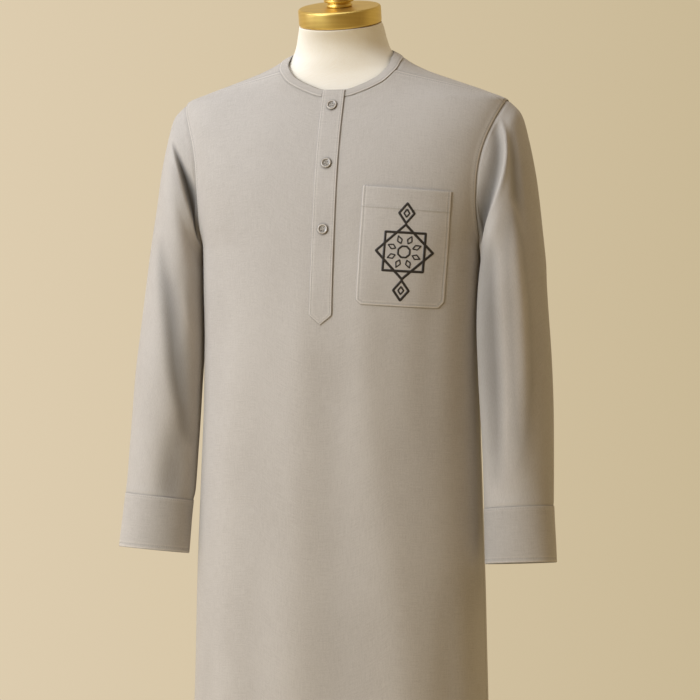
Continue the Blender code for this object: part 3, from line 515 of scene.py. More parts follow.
def painted_edge_light_and_shade(distance, stitch=STITCH_IN):
    """Painted light and shade by a folded, stitched edge: painted shadow under it and at the
    stitches, painted highlight on the fold and beside the stitches.
    """
    pale = 0.26 * bell(distance - 0.0018, 0.0009) + 0.12 * bell(distance - stitch - 0.0020, 0.0009)
    return pale - 0.34 * bell(distance, 0.0007) - 0.20 * bell(distance - stitch, 0.0007)


def painted_lap_shadow(distance, width=0.0024):
    """Painted shadow beside an edge that another piece lies over."""
    return -0.30 * bell(distance, width)


def smooth_noise(points, size, seed):
    """Quiet uneven waves over points, from a few fixed directions; between -1 and 1."""
    rng = np.random.default_rng(seed)
    total = np.zeros(points.shape[:-1])
    for _ in range(7):
        way = rng.normal(size=3)
        way /= np.linalg.norm(way)
        pace = 2 * math.pi / (size * rng.uniform(0.7, 1.5))
        total += np.sin(points @ way * pace + rng.uniform(0, 6.3))
    return total / 7


# ---------------------------------------------------------------- grids of points
def columns_of(grid):
    return grid.transpose(1, 0, 2)


def distances(lines):
    """Distance of each point of each line from the line's start."""
    steps = np.linalg.norm(np.diff(lines, axis=1), axis=2)
    return np.concatenate([np.zeros((len(lines), 1)), np.cumsum(steps, axis=1)], axis=1)


def from_ends(grid):
    """Distances of a grid's points from its top and its bottom, along its columns."""
    down = distances(columns_of(grid)).T
    return down, down[-1:] - down


def from_sides(grid):
    """Distance of a grid's points from the nearer end of their row."""
    side = distances(grid)
    return np.minimum(side, side[:, -1:] - side)


def points_at(line, along, keys):
    """Points of a line at given distances along it."""
    return np.stack([np.interp(keys, along, line[:, axis]) for axis in range(3)], -1)


def spread(lines, count, end=EDGE_STEPS, crowd=0.0):
    """Places points anew along lines: at set distances from both ends, and between these evenly
    or, with crowd, closer together near the start."""
    start, end = np.array(EDGE_STEPS), np.array(end)
    middle = np.linspace(0, 1, count + 2)[1:-1]
    middle = middle * (1 - crowd) + middle**2 * crowd
    out = []
    for line, reach in zip(lines, distances(lines)):
        between = start[-1] + (reach[-1] - start[-1] - end[-1]) * middle
        keys = np.concatenate([start, between, reach[-1] - end[::-1]])
        out.append(points_at(line, reach, keys))
    return np.array(out)


def spread_rows(grid, count, end=EDGE_STEPS, crowd=0.0):
    return columns_of(spread(columns_of(grid), count, end, crowd))


def grid_normals(grid, closed, outward):
    """Unit normals of a grid of points, on the side that the outward vectors give."""
    if closed:
        across = np.roll(grid, -1, axis=1) - np.roll(grid, 1, axis=1)
    else:
        across = np.gradient(grid, axis=1)
    normal = unit(np.cross(np.gradient(grid, axis=0), across))
    side = np.sign((normal * outward).sum(-1, keepdims=True))
    return normal * np.where(side == 0, 1, side)


def grid_faces(rows, columns, closed=False):
    """Quads of a grid whose points are counted row by row; a closed one joins round its rows."""
    r = np.arange(rows - 1)[:, None]
    c = np.arange(columns if closed else columns - 1)[None]
    d = (c + 1) % columns
    start, below = r * columns, (r + 1) * columns
    return np.stack([start + c, start + d, below + d, below + c], -1).reshape(-1, 4)


def both_halves(half):
    """A half grid, from its side to the middle, and its mirror."""
    return np.concatenate([half, half[:, :-1][:, ::-1] * MIRROR], axis=1)


def wrapped(grid):
    """A closed grid with its first column again at the end."""
    return np.concatenate([grid, grid[:, :1]], axis=1)


def new_mesh(name, verts, faces):
    mesh = bpy.data.meshes.new(name)
    mesh.from_pydata([tuple(v) for v in verts], [], faces)
    return mesh


def store_painted_shading(mesh, tone, corners):
    """Stores the painted light and shade, a factor near 1, for each corner of the faces: half its
    value, in a layer of UVs.
    """
    layer = mesh.uv_layers.new(name="tone")
    values = np.ravel(tone)[np.ravel(corners)] / 2
    layer.data.foreach_set("uv", np.stack([values, values], 1).ravel().astype(np.float32))


def grid_mesh(name, grid, closed, outward, tone):
    """A surface through a grid of points, with UVs in metres along its rows and columns."""
    columns = grid.shape[1]
    faces = grid_faces(*grid.shape[:2], closed)
    points = grid.reshape(-1, 3)
    a, b, _, d = points[faces].transpose(1, 0, 2)
    if (np.cross(b - a, d - a) * outward.reshape(-1, 3)[faces[:, 0]]).sum() < 0:
        faces = faces[:, ::-1]
    mesh = new_mesh(name, points.tolist(), faces.tolist())
    around = wrapped(grid) if closed else grid
    u = distances(around)
    u = u - u[:, [u.shape[1] // 2]]
    v = -from_ends(around)[0]
    column, row = faces % columns, faces // columns
    if closed:
        wraps = column.max(1) - column.min(1) > 1
        column = np.where(wraps[:, None] & (column == 0), columns, column)
    layer = mesh.uv_layers.new(name="weave")
    pairs = np.stack([u[row, column], v[row, column]], -1)
    layer.data.foreach_set("uv", pairs.reshape(-1).astype(np.float32))
    store_painted_shading(mesh, 1 + tone + np.zeros(grid.shape[:2]), faces)
    mesh.update()
    return mesh


def add_object(name, mesh, material, node=None):
    """Adds a piece, which rides on the root body and stands for a node where one is named."""
    piece = bpy.data.objects.new(name, mesh)
    mesh.materials.append(material)
    mesh.shade_smooth()
    bpy.context.scene.collection.objects.link(piece)
    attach(piece, "root")
    if node:
        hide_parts(node)
    return piece


def add_cloth(node, grid, normal, rise, tone, wall=SHELL, closed=False, flip=1):
    """Adds the cloth piece of a node: a grid moved out by its rise, as a thin wall, and mirrored
    where flip says so. Returns the piece and its outer grid."""
    name = f"{node.removesuffix('_panel')}_cloth"
    grid = (grid + normal * np.asarray(rise)[..., None]) * flip
    piece = add_object(
        name, grid_mesh(name, grid, closed, normal * flip, tone), CLOTH, node
    )
    solid = piece.modifiers.new("wall", "SOLIDIFY")
    solid.thickness = wall
    solid.offset = -1.0
    solid.use_rim = True
    return piece, grid


# ---------------------------------------------------------------- materials
class Nodes:
    """Makes and joins the nodes of a material or a world."""

    def __init__(self, owner):
        self.tree = owner.node_tree
        self.shader = self.tree.nodes.get("Principled BSDF")

    def feed(self, target, inputs):
        """Gives inputs, by name or number, a value each or the output that leads to it."""
        for key, value in inputs.items():
            if isinstance(value, bpy.types.NodeSocket):
                self.tree.links.new(value, target.inputs[key])
            else:
                target.inputs[key].default_value = value

    def add(self, kind, inputs=None, **settings):
        """Adds a node and gives its outputs."""
        made = self.tree.nodes.new(f"ShaderNode{kind}")
        for key, value in settings.items():
            setattr(made, key, value)
        self.feed(made, inputs or {})
        return made.outputs

    def maths(self, operation, *values):
        return self.add("Math", dict(enumerate(values)), operation=operation)[0]

    def stretched(self, place, scale):
        return self.add("Mapping", {0: place, "Scale": scale})[0]

    def noise(self, place, scale, detail=2.0, distortion=0.0, dimensions="3D"):
        inputs = {"Vector": place, "Scale": scale, "Detail": detail, "Distortion": distortion}
        return self.add("TexNoise", inputs, noise_dimensions=dimensions)["Fac"]

    def ramp(self, factor, *stops):
        """A colour ramp through (position, colour) stops, fed by a factor."""
        ramp = self.tree.nodes.new("ShaderNodeValToRGB")
        elements = ramp.color_ramp.elements
        while len(elements) > 1:
            elements.remove(elements[-1])
        elements[0].position = stops[0][0]
        elements[0].color = (*stops[0][1], 1)
        for position, colour in stops[1:]:
            elements.new(position).color = (*colour, 1)
        self.feed(ramp, {0: factor})
        return ramp.outputs[0]

    def times_painted_shading(self, colour):
        """The colour, times the painted light and shade stored on the mesh."""
        half = self.add("SeparateXYZ", {0: self.add("UVMap", uv_map="tone")[0]})[0]
        scale = self.maths("MULTIPLY", half, 2.0)
        return self.add("VectorMath", {0: colour, "Scale": scale}, operation="SCALE")[0]

    def surface(self, colour, height, strength, distance):
        """Leads a colour, and the bump of a height, to the shader."""
        inputs = {"Strength": strength, "Distance": distance, "Height": height}
        self.feed(self.shader, {"Base Color": colour, "Normal": self.add("Bump", inputs)[0]})


def new_material(name, roughness, **values):
    """A material, with values for its shader's inputs, and the maker of its nodes."""
    material = bpy.data.materials.new(name)
    material.use_nodes = True
    nodes = Nodes(material)
    inputs = {key.replace("_", " ").title(): value for key, value in values.items()}
    nodes.feed(nodes.shader, {"Roughness": roughness, **inputs})
    return material, nodes


def woven_material(name, tones, pitch, relief, sheen, roughness=0.86, slub=0.5):
    """Woven cloth: crossing threads with slubs, a melange of tones and a soft sheen."""
    material, nodes = new_material(
        name, roughness, sheen_weight=sheen, sheen_roughness=0.45, sheen_tint=(1.0, 0.97, 0.93, 1)
    )
    maths = nodes.maths
    place = nodes.add("UVMap", uv_map="weave")[0]
    u, v, _ = nodes.add("SeparateXYZ", {0: place})
    turn = 2 * math.pi / pitch
    warp, weft = (maths("SINE", maths("MULTIPLY", way, turn)) for way in (u, v))
    thread = maths("MULTIPLY_ADD", maths("MULTIPLY", warp, weft), 0.5, 0.5)
    fine, long = 1 / (pitch * 1.6), 45.0
    upright, level, mottle, broad = (
        nodes.noise(nodes.stretched(place, (*scale, 1)), 1.0, dimensions="2D")
        for scale in ((fine, long), (long, fine), (520.0, 430.0), (9.0, 6.0))
    )
    tone = maths("MULTIPLY_ADD", upright, slub, maths("MULTIPLY", level, slub))
    tone = maths("MULTIPLY_ADD", mottle, 1.0 - slub, tone)
    tone = maths("MULTIPLY_ADD", thread, 0.10, maths("MULTIPLY", tone, 0.62))
    tone = maths("MULTIPLY_ADD", broad, 0.22, tone)
    colour = nodes.times_painted_shading(nodes.ramp(tone, *zip((0.28, 0.50, 0.72), tones)))
    height = maths("MULTIPLY_ADD", maths("ADD", upright, level), 0.45, thread)
    nodes.surface(colour, height, 0.55, relief)
    return material


def thread_material(name, colour, strand_shade, roughness, pitch=0.00035, sheen=0.3):
    """Twisted thread: fine bands along it, with painted shade between the strands."""
    material, nodes = new_material(
        name, roughness, sheen_weight=sheen, sheen_roughness=0.45, sheen_tint=(1, 1, 1, 1)
    )
    place = nodes.add("TexCoord")["Object"]
    noise = nodes.noise(place, 1 / (pitch * 3), 3.0)
    waves = {"Vector": place, "Scale": 2 * math.pi / (20 * pitch), "Distortion": 1.5}
    bands = nodes.add("TexWave", waves, bands_direction="DIAGONAL")["Fac"]
    tone = nodes.maths("MULTIPLY_ADD", bands, 0.45, nodes.maths("MULTIPLY", noise, 0.55))
    nodes.surface(nodes.ramp(tone, (0.25, strand_shade), (0.65, colour)), tone, 0.6, 0.00006)
    return material


def brass_material():
    """Satin brass: a faint turned grain, clouded tone and a few rubbed spots."""
    material, nodes = new_material("satin_brass", 0.26, metallic=1.0)
    place = nodes.add("TexCoord")["Object"]
    grain = nodes.noise(nodes.stretched(place, (14, 14, 320)), 1.0, 3.0)
    cloud = nodes.noise(place, 38.0, 5.0)
    tone = nodes.maths("MULTIPLY_ADD", grain, 0.70, nodes.maths("MULTIPLY", cloud, 0.30))
    colour = nodes.ramp(tone, (0.30, (0.70, 0.49, 0.135)), (0.70, (0.82, 0.60, 0.190)))
    nodes.feed(nodes.shader, {"Roughness": nodes.maths("MULTIPLY_ADD", tone, 0.12, 0.33)})
    nodes.surface(colour, grain, 0.10, 0.00003)
    return material


def pearl_material():
    """Pearly button: clouded layers of beige under a thin gloss."""
    material, nodes = new_material("pearl_button", 0.30, coat_weight=0.5, coat_roughness=0.12)
    cloud = nodes.noise(nodes.add("TexCoord")["Object"], 260.0, 4.0, 1.2)
    tones = ((0.32, 0.28, 0.23), (0.44, 0.39, 0.33), (0.56, 0.51, 0.44))
    colour = nodes.times_painted_shading(nodes.ramp(cloud, *zip((0.30, 0.50, 0.70), tones)))
    nodes.surface(colour, cloud, 0.15, 0.0001)
    return material


def plaster_material(name, colour):
    """Plain painted plaster for the floor."""
    material, nodes = new_material(name, 0.9)
    noise = nodes.noise(nodes.add("TexCoord")["Object"], 1.3)
    pale = tuple(min(1.0, part * 1.05) for part in colour)
    nodes.feed(nodes.shader, {"Base Color": nodes.ramp(noise, (0.35, colour), (0.65, pale))})
    return material


CLOTH = woven_material(
    "grey_cloth_woven",
    ((0.385, 0.345, 0.300), (0.455, 0.412, 0.365), (0.530, 0.486, 0.436)),
    0.00052,
    0.00010,
    0.22,
)
LINEN = woven_material(
    "form_linen_woven",
    ((0.85, 0.760, 0.600), (0.91, 0.830, 0.690), (0.94, 0.880, 0.770)),
    0.00045,
    0.00004,
    0.10,
    0.80,
    0.4,
)
THREAD = thread_material("grey_thread", (0.64, 0.60, 0.55), (0.42, 0.39, 0.35), 0.7)
SATIN = thread_material(
    "dark_satin_thread", (0.030, 0.022, 0.016), (0.010, 0.008, 0.006), 0.42, 0.0004, 0.15
)
BRASS = brass_material()
PEARL = pearl_material()


# ---------------------------------------------------------------- body panels
def reach_over(lines, ways, amount=LAP_REACH, rows=slice(None)):
    """Pushes an edge, the first of some lines beside it, out past its seam along ways, fading
    over the cells next to it."""
    gaps = from_ends(lines)[0]
    for i in range(12):
        fade = 1 - smooth_step(gaps[i, rows] / 0.010)
        lines[i, rows] += ways * (amount * fade)[:, None]


def front_top(theta):
    """Top points of the front at angles theta, from the shoulder tip to the neck and its middle."""
    corner = neckline(NECK_CORNER_PSI)[0]
    tip = armhole(FRONT_YOKE_PHI)
    share = np.clip(theta / NECK_CORNER_THETA, 0, 1)
    seam = onto_torso(tip + (corner - tip) * share[:, None])
    past = np.clip((theta - NECK_CORNER_THETA) / (90 - NECK_CORNER_THETA), 0, 1)
    beyond = neckline(NECK_CORNER_PSI * (1 - past))
    return np.where((theta <= NECK_CORNER_THETA)[:, None], seam, beyond)


def back_seam(theta):
    """Yoke seam of the back, level from the armhole to the middle."""
    tip = armhole(BACK_YOKE_PHI)
    power = torso_at(tip[2])[0, 4]
    x = tip[0] * np.cos(np.radians(theta)) ** (2 / power)
    x = np.where(theta >= 90, 0.0, x)
    return on_body(x, np.full_like(x, tip[2]), 1)


def body_grid(facing, theta, phi, top):
    """Rows and columns of a body panel: armhole to armhole above the underarm, seam to seam
    below."""
    power = torso_at(UNDERARM_Z)[0, 4]
    share = np.cos(np.radians(theta)) ** (2 / power)
    share[-1] = 0.0
    edge = armhole(phi)
    drop = ((edge[0, 2] - edge[:, 2]) / (edge[0, 2] - UNDERARM_Z))[:, None]
    underarm = torso_at(UNDERARM_Z)[0, 0]
    z = top[None, :, 2] * (1 - drop) + UNDERARM_Z * drop
    x = top[None, :, 0] * (1 - drop) + underarm * share * drop
    straight = top[0, 0] * (1 - drop) + underarm * drop
    x = x + (edge[:, :1] - straight) * share**3
    upper = on_body(x, z, facing)
    upper[:, 0] = edge
    upper[0] = top
    heights = np.linspace(UNDERARM_Z, HEM_Z, SKIRT_ROWS + 1)[1:]
    level = torso_at(heights)
    lower = on_body(level[:, :1] * share, heights[:, None], facing)
    lower[:, 0, 1] = level[:, 3]
    half = np.concatenate([upper, lower])
    return both_halves(half)


def body_panel(node, facing, phi, top_of, paths, upper_rows, seed):
    """A front or back: spread over fine cells, creased, with lapped, plain and sunk edges."""
    outer = np.linspace(0, NECK_CORNER_THETA, 81)
    theta = np.concatenate([outer, np.linspace(NECK_CORNER_THETA, 90, 41)[1:]])
    grid = spread(body_grid(facing, theta, phi, top_of(theta)), PANEL_COLUMNS)
    upper = spread_rows(grid[: len(phi)], upper_rows, end=(0.0,))
    grid = np.concatenate([upper, grid[len(phi) :]])
    side = from_sides(grid)
    top = from_ends(grid)[0]
    normal = grid_normals(grid, False, torso_normal(grid))
    rise = crease_rise(grid, paths)
    # Painted shade in the troughs of the creases and painted highlight on their ridges
    tone = 13 * rise
    rise += 0.00045 * smooth_noise(grid, 0.16, seed) * smooth_step(side / 0.03)
    # The sides are lapped at the armholes and plain below them
    level = np.arange(len(grid))[:, None] < len(upper)
    lapped = level * (1 - smooth_step((UNDERARM_Z + 0.012 - grid[..., 2]) / 0.012))
    rise += over_edge(side) * lapped + plain_edge(side) * (1 - lapped)
    # Painted light and shade by the lapped edges, and a painted shadow along the plain seam
    tone += painted_edge_light_and_shade(side) * lapped - 0.22 * bell(side, 0.0012) * (1 - lapped)
    # The top lies over the yoke at the shoulders of the front, and under its neighbour elsewhere
    over = 0.0
    if facing < 0:
        neck_x = neckline(NECK_CORNER_PSI)[0][0]
        over = smooth_step((np.abs(grid[:1, :, 0]) - neck_x + 0.004) / 0.008)
        rise += np.maximum(over_edge(top) - np.maximum(over_edge(side), 0) * level, 0) * over
    rise += under_edge(top) * (1 - over)
    # Painted light and shade where the top lies over its neighbour, painted shadow where it lies
    # under
    tone += painted_edge_light_and_shade(top) * over + painted_lap_shadow(top) * (1 - over)
    hem = grid[..., 2] - HEM_Z
    rise += 0.0006 * (1 - smooth_step((hem - 0.0215) / 0.002))
    rise -= 0.0003 * bell(hem - HEM_STITCH, 0.0012)
    # Painted shadow along the fold of the hem and a painted highlight above it
    tone += -0.14 * bell(hem - 0.0205, 0.0025) + 0.07 * bell(hem - 0.0245, 0.0025)
    rows = slice(0, len(upper))
    ways = armhole_lead(armhole_cosine(grid[rows, 0])) * lapped[rows, :1]
    reach_over(columns_of(grid), ways, rows=rows)
    reach_over(columns_of(grid)[::-1], ways * MIRROR, rows=rows)
    if facing < 0:
        reach_over(grid, unit(grid[0] - grid[3]) * over[0][:, None])
    return add_cloth(node, grid, normal, rise, tone)


def yoke():
    """The yoke, round the neck from one front seam to the other; rows run from the neckline out."""
    side = np.linspace(0, 1, YOKE_SIDE)
    side_psi = NECK_CORNER_PSI + (BACK_CORNER_PSI - NECK_CORNER_PSI) * side
    inner = neckline(np.concatenate([side_psi, np.linspace(BACK_CORNER_PSI, 180, YOKE_BACK)[1:]]))
    side_phi = FRONT_YOKE_PHI + (BACK_YOKE_PHI - FRONT_YOKE_PHI) * side
    outer = np.concatenate([armhole(side_phi), back_seam(np.linspace(0, 90, YOKE_BACK))[1:]])
    half = onto_torso(inner + (outer - inner) * np.linspace(0, 1, 61)[:, None, None])
    half[0], half[-1] = inner, outer
    front = spread(half[:, :YOKE_SIDE], 22, end=(0.0,))
    half = np.concatenate([front, half[:, YOKE_SIDE:]], axis=1)
    corner = front.shape[1] - 1
    grid = spread_rows(both_halves(half), YOKE_ROWS)
    side = from_sides(grid)
    from_neck, from_out = from_ends(grid)
    normal = grid_normals(grid, False, torso_normal(grid))
    rise = 0.0003 * smooth_noise(grid, 0.12, 9)
    rise += under_edge(side) + under_edge(from_neck)
    rise += over_edge(from_out) * smooth_step((side - 0.001) / 0.006)
    # Painted light and shade by the lapped outer edge, painted shadow under the neighbours at its
    # sides and neck
    tone = painted_edge_light_and_shade(from_out) + painted_lap_shadow(side) + painted_lap_shadow(from_neck)
    columns = np.arange(grid.shape[1])
    place = np.minimum(columns, columns[::-1])
    out = unit(grid[-1] - grid[-4])
    lead = armhole_lead(armhole_cosine(grid[-1])) * np.where(grid[-1, :, :1] < 0, MIRROR, 1)
    ways = np.where((place <= corner)[:, None], lead, out)
    reach_over(grid[::-1], ways * smooth_step(place / 10.0)[:, None])
    return *add_cloth("yoke", grid, normal, rise, tone), corner


def tube(phi, station, closer, rows, crowd=0.0):
    """Grid and normals of a part of a sleeve tube, and distances from its top and its end."""
    grid = spread_rows(sleeve_points(station[:, None], phi[None], closer), rows, crowd=crowd)
    normal = grid_normals(grid, True, grid - grid.mean(axis=1, keepdims=True))
    return grid, normal, *from_ends(grid)


def sleeve(side, node, creases, closer, seed):
    """A sleeve with its creases, sunk at the armhole and the cuff, a plain seam under the arm."""
    phi = np.concatenate([np.arange(0, 30, 3.0), np.arange(30, 156, 1.5), np.arange(156, 360, 3.0)])
    station = np.linspace(0, 0.6, 41)
    station = np.concatenate([station, np.linspace(0.6, CUFF_STATION - 0.01, 240)[1:]])
    grid, normal, down, left = tube(phi, station, closer, SLEEVE_ROWS, 0.6)
    units = (1, 1, MM, MM, MM)
    paths = crease_paths(creases, units, lambda place, turn: sleeve_points(place, turn, closer))
    rise = crease_rise(grid, paths)
    # Painted shade in the troughs and on low ridges, painted highlight on high ridges
    shade = -0.90 * (1 - np.exp(np.minimum(rise, 0) * 140))
    shade = shade - 60 * np.clip(rise, 0, 0.0022) + 80 * np.maximum(rise - 0.0022, 0)
    rise = rise * smooth_step(down / 0.010 + 0.15)
    rise += 0.0005 * smooth_noise(grid, 0.11, seed) * smooth_step(down / 0.02)
    under = np.abs(phi - 180) * 0.0009
    rise += (plain_edge(under) * 0.7)[None] * smooth_step(down / 0.02)
    rise += under_edge(down) + 0.7 * under_edge(left)
    # Painted shadow under the lapped armhole and cuff edges, on top of the painted crease shade
    tone = (1 + shade) * (1 + painted_lap_shadow(down, 0.0016) + 0.6 * painted_lap_shadow(left, 0.0018)) - 1
    return add_cloth(node, grid, normal, rise, tone, closed=True, flip=np.array([side, 1, 1]))


def cuff(side, node, closer):
    """A cuff: a firmer band, lapped over the sleeve's end, with a rounded lower edge."""
    phi = np.arange(0, 360, 3.0)
    station = np.linspace(CUFF_STATION - 0.012, LAST_STATION, 60)
    grid, normal, down, left = tube(phi, station, closer, CUFF_ROWS)
    rise = 0.0005 - 0.0005 * bell(down, 0.0007) - 0.0005 * bell(left, 0.0008)
    rise -= 0.0003 * bell(down - CUFF_TOP_STITCH, 0.0007)
    rise -= 0.0003 * bell(left - CUFF_END_STITCH, 0.0009)
    rise += 0.0005 * smooth_noise(grid, 0.07, 31 + side)
    # Painted light and shade by both stitched edges, and painted shade on the inner front side,
    # towards the body
    tone = 0.7 * painted_edge_light_and_shade(down, CUFF_TOP_STITCH) + painted_edge_light_and_shade(left, CUFF_END_STITCH)
    tone = tone - 0.16 * bell((phi - 125) / 100, 0.5)
    flip = np.array([side, 1, 1])
    return add_cloth(node, grid, normal, rise, tone, WALL * 1.5, True, flip)


front_phi, back_phi = np.linspace(FRONT_YOKE_PHI, 180, 56), np.linspace(BACK_YOKE_PHI, -180, 50)
front_cloth, front_grid = body_panel(
    "front_panel", -1, front_phi, front_top, FRONT_PATHS, FRONT_ROWS, 3
)
back_cloth, back_grid = body_panel("back_panel", 1, back_phi, back_seam, BACK_PATHS, BACK_ROWS, 5)
yoke_cloth, yoke_grid, yoke_corner = yoke()
sleeve_left, sleeve_left_grid = sleeve(1, "sleeve_left", LEFT_SLEEVE_CREASES, 0.0, 11)
sleeve_right, sleeve_right_grid = sleeve(
    -1, "sleeve_right", RIGHT_SLEEVE_CREASES, RIGHT_SLEEVE_CLOSER, 13
)
cuff_left, cuff_left_grid = cuff(1, "cuff_left", 0.0)
cuff_right, cuff_right_grid = cuff(-1, "cuff_right", RIGHT_SLEEVE_CLOSER)


# ---------------------------------------------------------------- neckband, placket, pocket
def band_edge_psi():
    """Angle at which the neckband starts, beside the placket."""
    near, far = 0.0, 40.0
    for _ in range(30):
        middle = (near + far) / 2
        if neckline(middle)[0, 0] < PLACKET_WIDTH / 2 + 0.0004:
            near = middle
        else:
            far = middle
    return middle


def band_points(psi, share):
    """Points of the neckband: it lies over the neckline seam, rises from it and leans in."""
    turn = np.where(psi > 180, 360 - psi, psi)
    _, lean, rise = neckline_at(turn).T
    seam = neckline(turn)
    angle = np.radians(turn)
    inward = np.stack([-np.sin(angle), np.cos(angle), 0 * angle], 1)
    up = np.array([0, 0, 1.0])
    across = unit(up * rise[:, None] + inward * lean[:, None])
    flat = np.hypot(across[:, 0], across[:, 1])
    out = up * flat[:, None] - inward * across[:, 2:]
    bulge = 0.0005 * math.sin(min(max(share, 0), 1) * math.pi)
    points = seam + across * (np.hypot(lean, rise)[:, None] * share) + out * bulge
    points = points + torso_normal(seam) * 0.0003 * (1 - smooth_step((share - 0.1) / 0.6))
    return points * np.where(psi[:, None] > 180, MIRROR, 1)


def neckband():
    """The low band, a flat strip round the neckline."""
    edge = band_edge_psi()
    psi = np.linspace(edge, 360 - edge, 240)
    shares = (-0.10, -0.04, 0.02, 0.09, 0.16, 0.23, 0.30, 0.40, 0.50, 0.60, 0.70, 0.80)
    shares += (0.87, 0.93, 0.97, 1.0)
    grid = np.array([band_points(psi, share) for share in shares])
    down, left = from_ends(grid)
    normal = grid_normals(grid, False, grid - NECK_CENTRE)
    rise = -0.0004 * bell(down, 0.0006) - 0.0006 * bell(left, 0.0007)
    rise -= 0.0003 * bell(down - NECKBAND_STITCH, 0.0007)
    # Painted highlight and shadow along the lower edge and the stitch line, painted shadow along
    # the top edge against the neck
    tone = 0.26 * bell(down - 0.0016, 0.0009) - 0.15 * bell(down, 0.0006)
    tone -= 0.10 * bell(down - 0.0032, 0.0008) + 0.45 * bell(left, 0.0009)
    return add_cloth("neckband", grid, normal, rise, tone, WALL)


def front_points(x, z, lift):
    """Points on the creased front, moved out by lift, and the ways out."""
    base = on_body(x, z, -1)
    out = torso_normal(base)
    return base + out * (crease_rise(base, FRONT_PATHS) + lift)[..., None], out


def edge_spacing(length, cell, steps=EDGE_STEPS):
    """Places along a line, close together at both ends."""
    steps = np.array(steps)
    count = max(2, int((length - 2 * steps[-1]) / cell))
    middle = np.linspace(steps[-1], length - steps[-1], count + 1)[1:-1]
    return np.concatenate([steps, middle, length - steps[::-1]])


def placket():
    """The placket: a strip with a pointed end, sewn on the viewer's left and free on the right."""
    half = PLACKET_WIDTH / 2
    across = edge_spacing(PLACKET_WIDTH, 0.0012, SHORT_STEPS) - half
    top_z = neckline_at(0.0)[0, 0]
    corner = PLACKET_TIP_Z + PLACKET_POINT
    length = top_z - corner
    point_rows = np.array([0.2, 0.4, 0.6, 0.75, 0.85, 0.92, 0.97, 1.0]) * PLACKET_POINT
    down = np.concatenate([np.linspace(0, length, 200), length + point_rows])[:, None]
    tip = PLACKET_POINT * (1 - np.abs(across) / half)
    point_z = corner - (down - length) / PLACKET_POINT * tip
    z = np.where(down > length, point_z, top_z - down * np.ones_like(across))
    x = np.broadcast_to(across, z.shape)
    side = half - np.abs(x)
    end = (z - (corner - tip)) * math.cos(math.atan2(PLACKET_POINT, half))
    near = np.minimum(side, end)
    lift = 0.0015 + 0.0005 * smooth_step((x + half) / PLACKET_WIDTH)
    lift = lift + border(side) + border(end) - 0.00028 * bell(near - PLACKET_STITCH, 0.0006)
    lift = lift + 0.0003 * smooth_noise(np.stack([x * 1.4, 0 * x, z], -1), 0.035, 21)
    grid, out = front_points(x, z, lift)
    # Painted light and shade by the edges and the stitches
    tone = 1.3 * painted_edge_light_and_shade(near, PLACKET_STITCH)
    # Painted shadows round the buttons
    for height in BUTTON_HEIGHTS:
        away = np.linalg.norm(grid - on_body(0.0, height, -1), axis=-1) - BUTTON_RADIUS
        tone = tone - 0.45 * bell(np.maximum(away - 0.0004, 0), 0.0012)
    # Above the neckline the placket covers the ends of the neckband
    _, lean, rise = neckline_at(0.0)[0]
    above = []
    for share in (1.0, 0.96, 0.90, 0.80, 0.66, 0.52, 0.38, 0.24, 0.12):
        bulge = 0.0007 * math.sin(share * math.pi) - 0.0005 * bell((1 - share) * 0.011, 0.0008)
        above.append(grid[0] + np.array([0, lean, rise]) * share + out[0] * bulge)
    count = len(above)
    grid = np.concatenate([np.array(above), grid])
    outward = np.concatenate([np.repeat(out[:1], count, 0), out])
    tone = np.concatenate([np.repeat(tone[:1], count, 0), tone])
    return add_cloth("placket", grid, outward, 0.0, tone)


def pocket_sides():
    """The straight sides of the pocket, each as the two parts of its inward way and an offset."""
    sides = []
    for (x0, z0), (x1, z1) in zip(POCKET_OUTLINE, POCKET_OUTLINE[1:] + POCKET_OUTLINE[:1]):
        length = math.hypot(x1 - x0, z1 - z0)
        across, up = (z1 - z0) / length, (x0 - x1) / length
        sides.append((across, up, across * x0 + up * z0))
    return sides


def pocket_map(u, v):
    """x and z of the pocket at shares u across and v down, within its clipped lower corners."""
    top_left, top_right, right_low, low_right, low_left, left_low = POCKET_OUTLINE
    left_clip = (low_left[0] - left_low[0]) / POCKET_LOW_WIDTH
    right_clip = (right_low[0] - low_right[0]) / POCKET_LOW_WIDTH
    bottom_z = (left_low[1], low_left[1], low_right[1], right_low[1])
    high = top_left[1] + (top_right[1] - top_left[1]) * u
    low = np.interp(u, (0.0, left_clip, 1 - right_clip, 1.0), bottom_z)
    left = top_left[0] + (left_low[0] - top_left[0]) * v
    right = top_right[0] + (right_low[0] - top_right[0]) * v
    return left + (right - left) * u, high + (low - high) * v


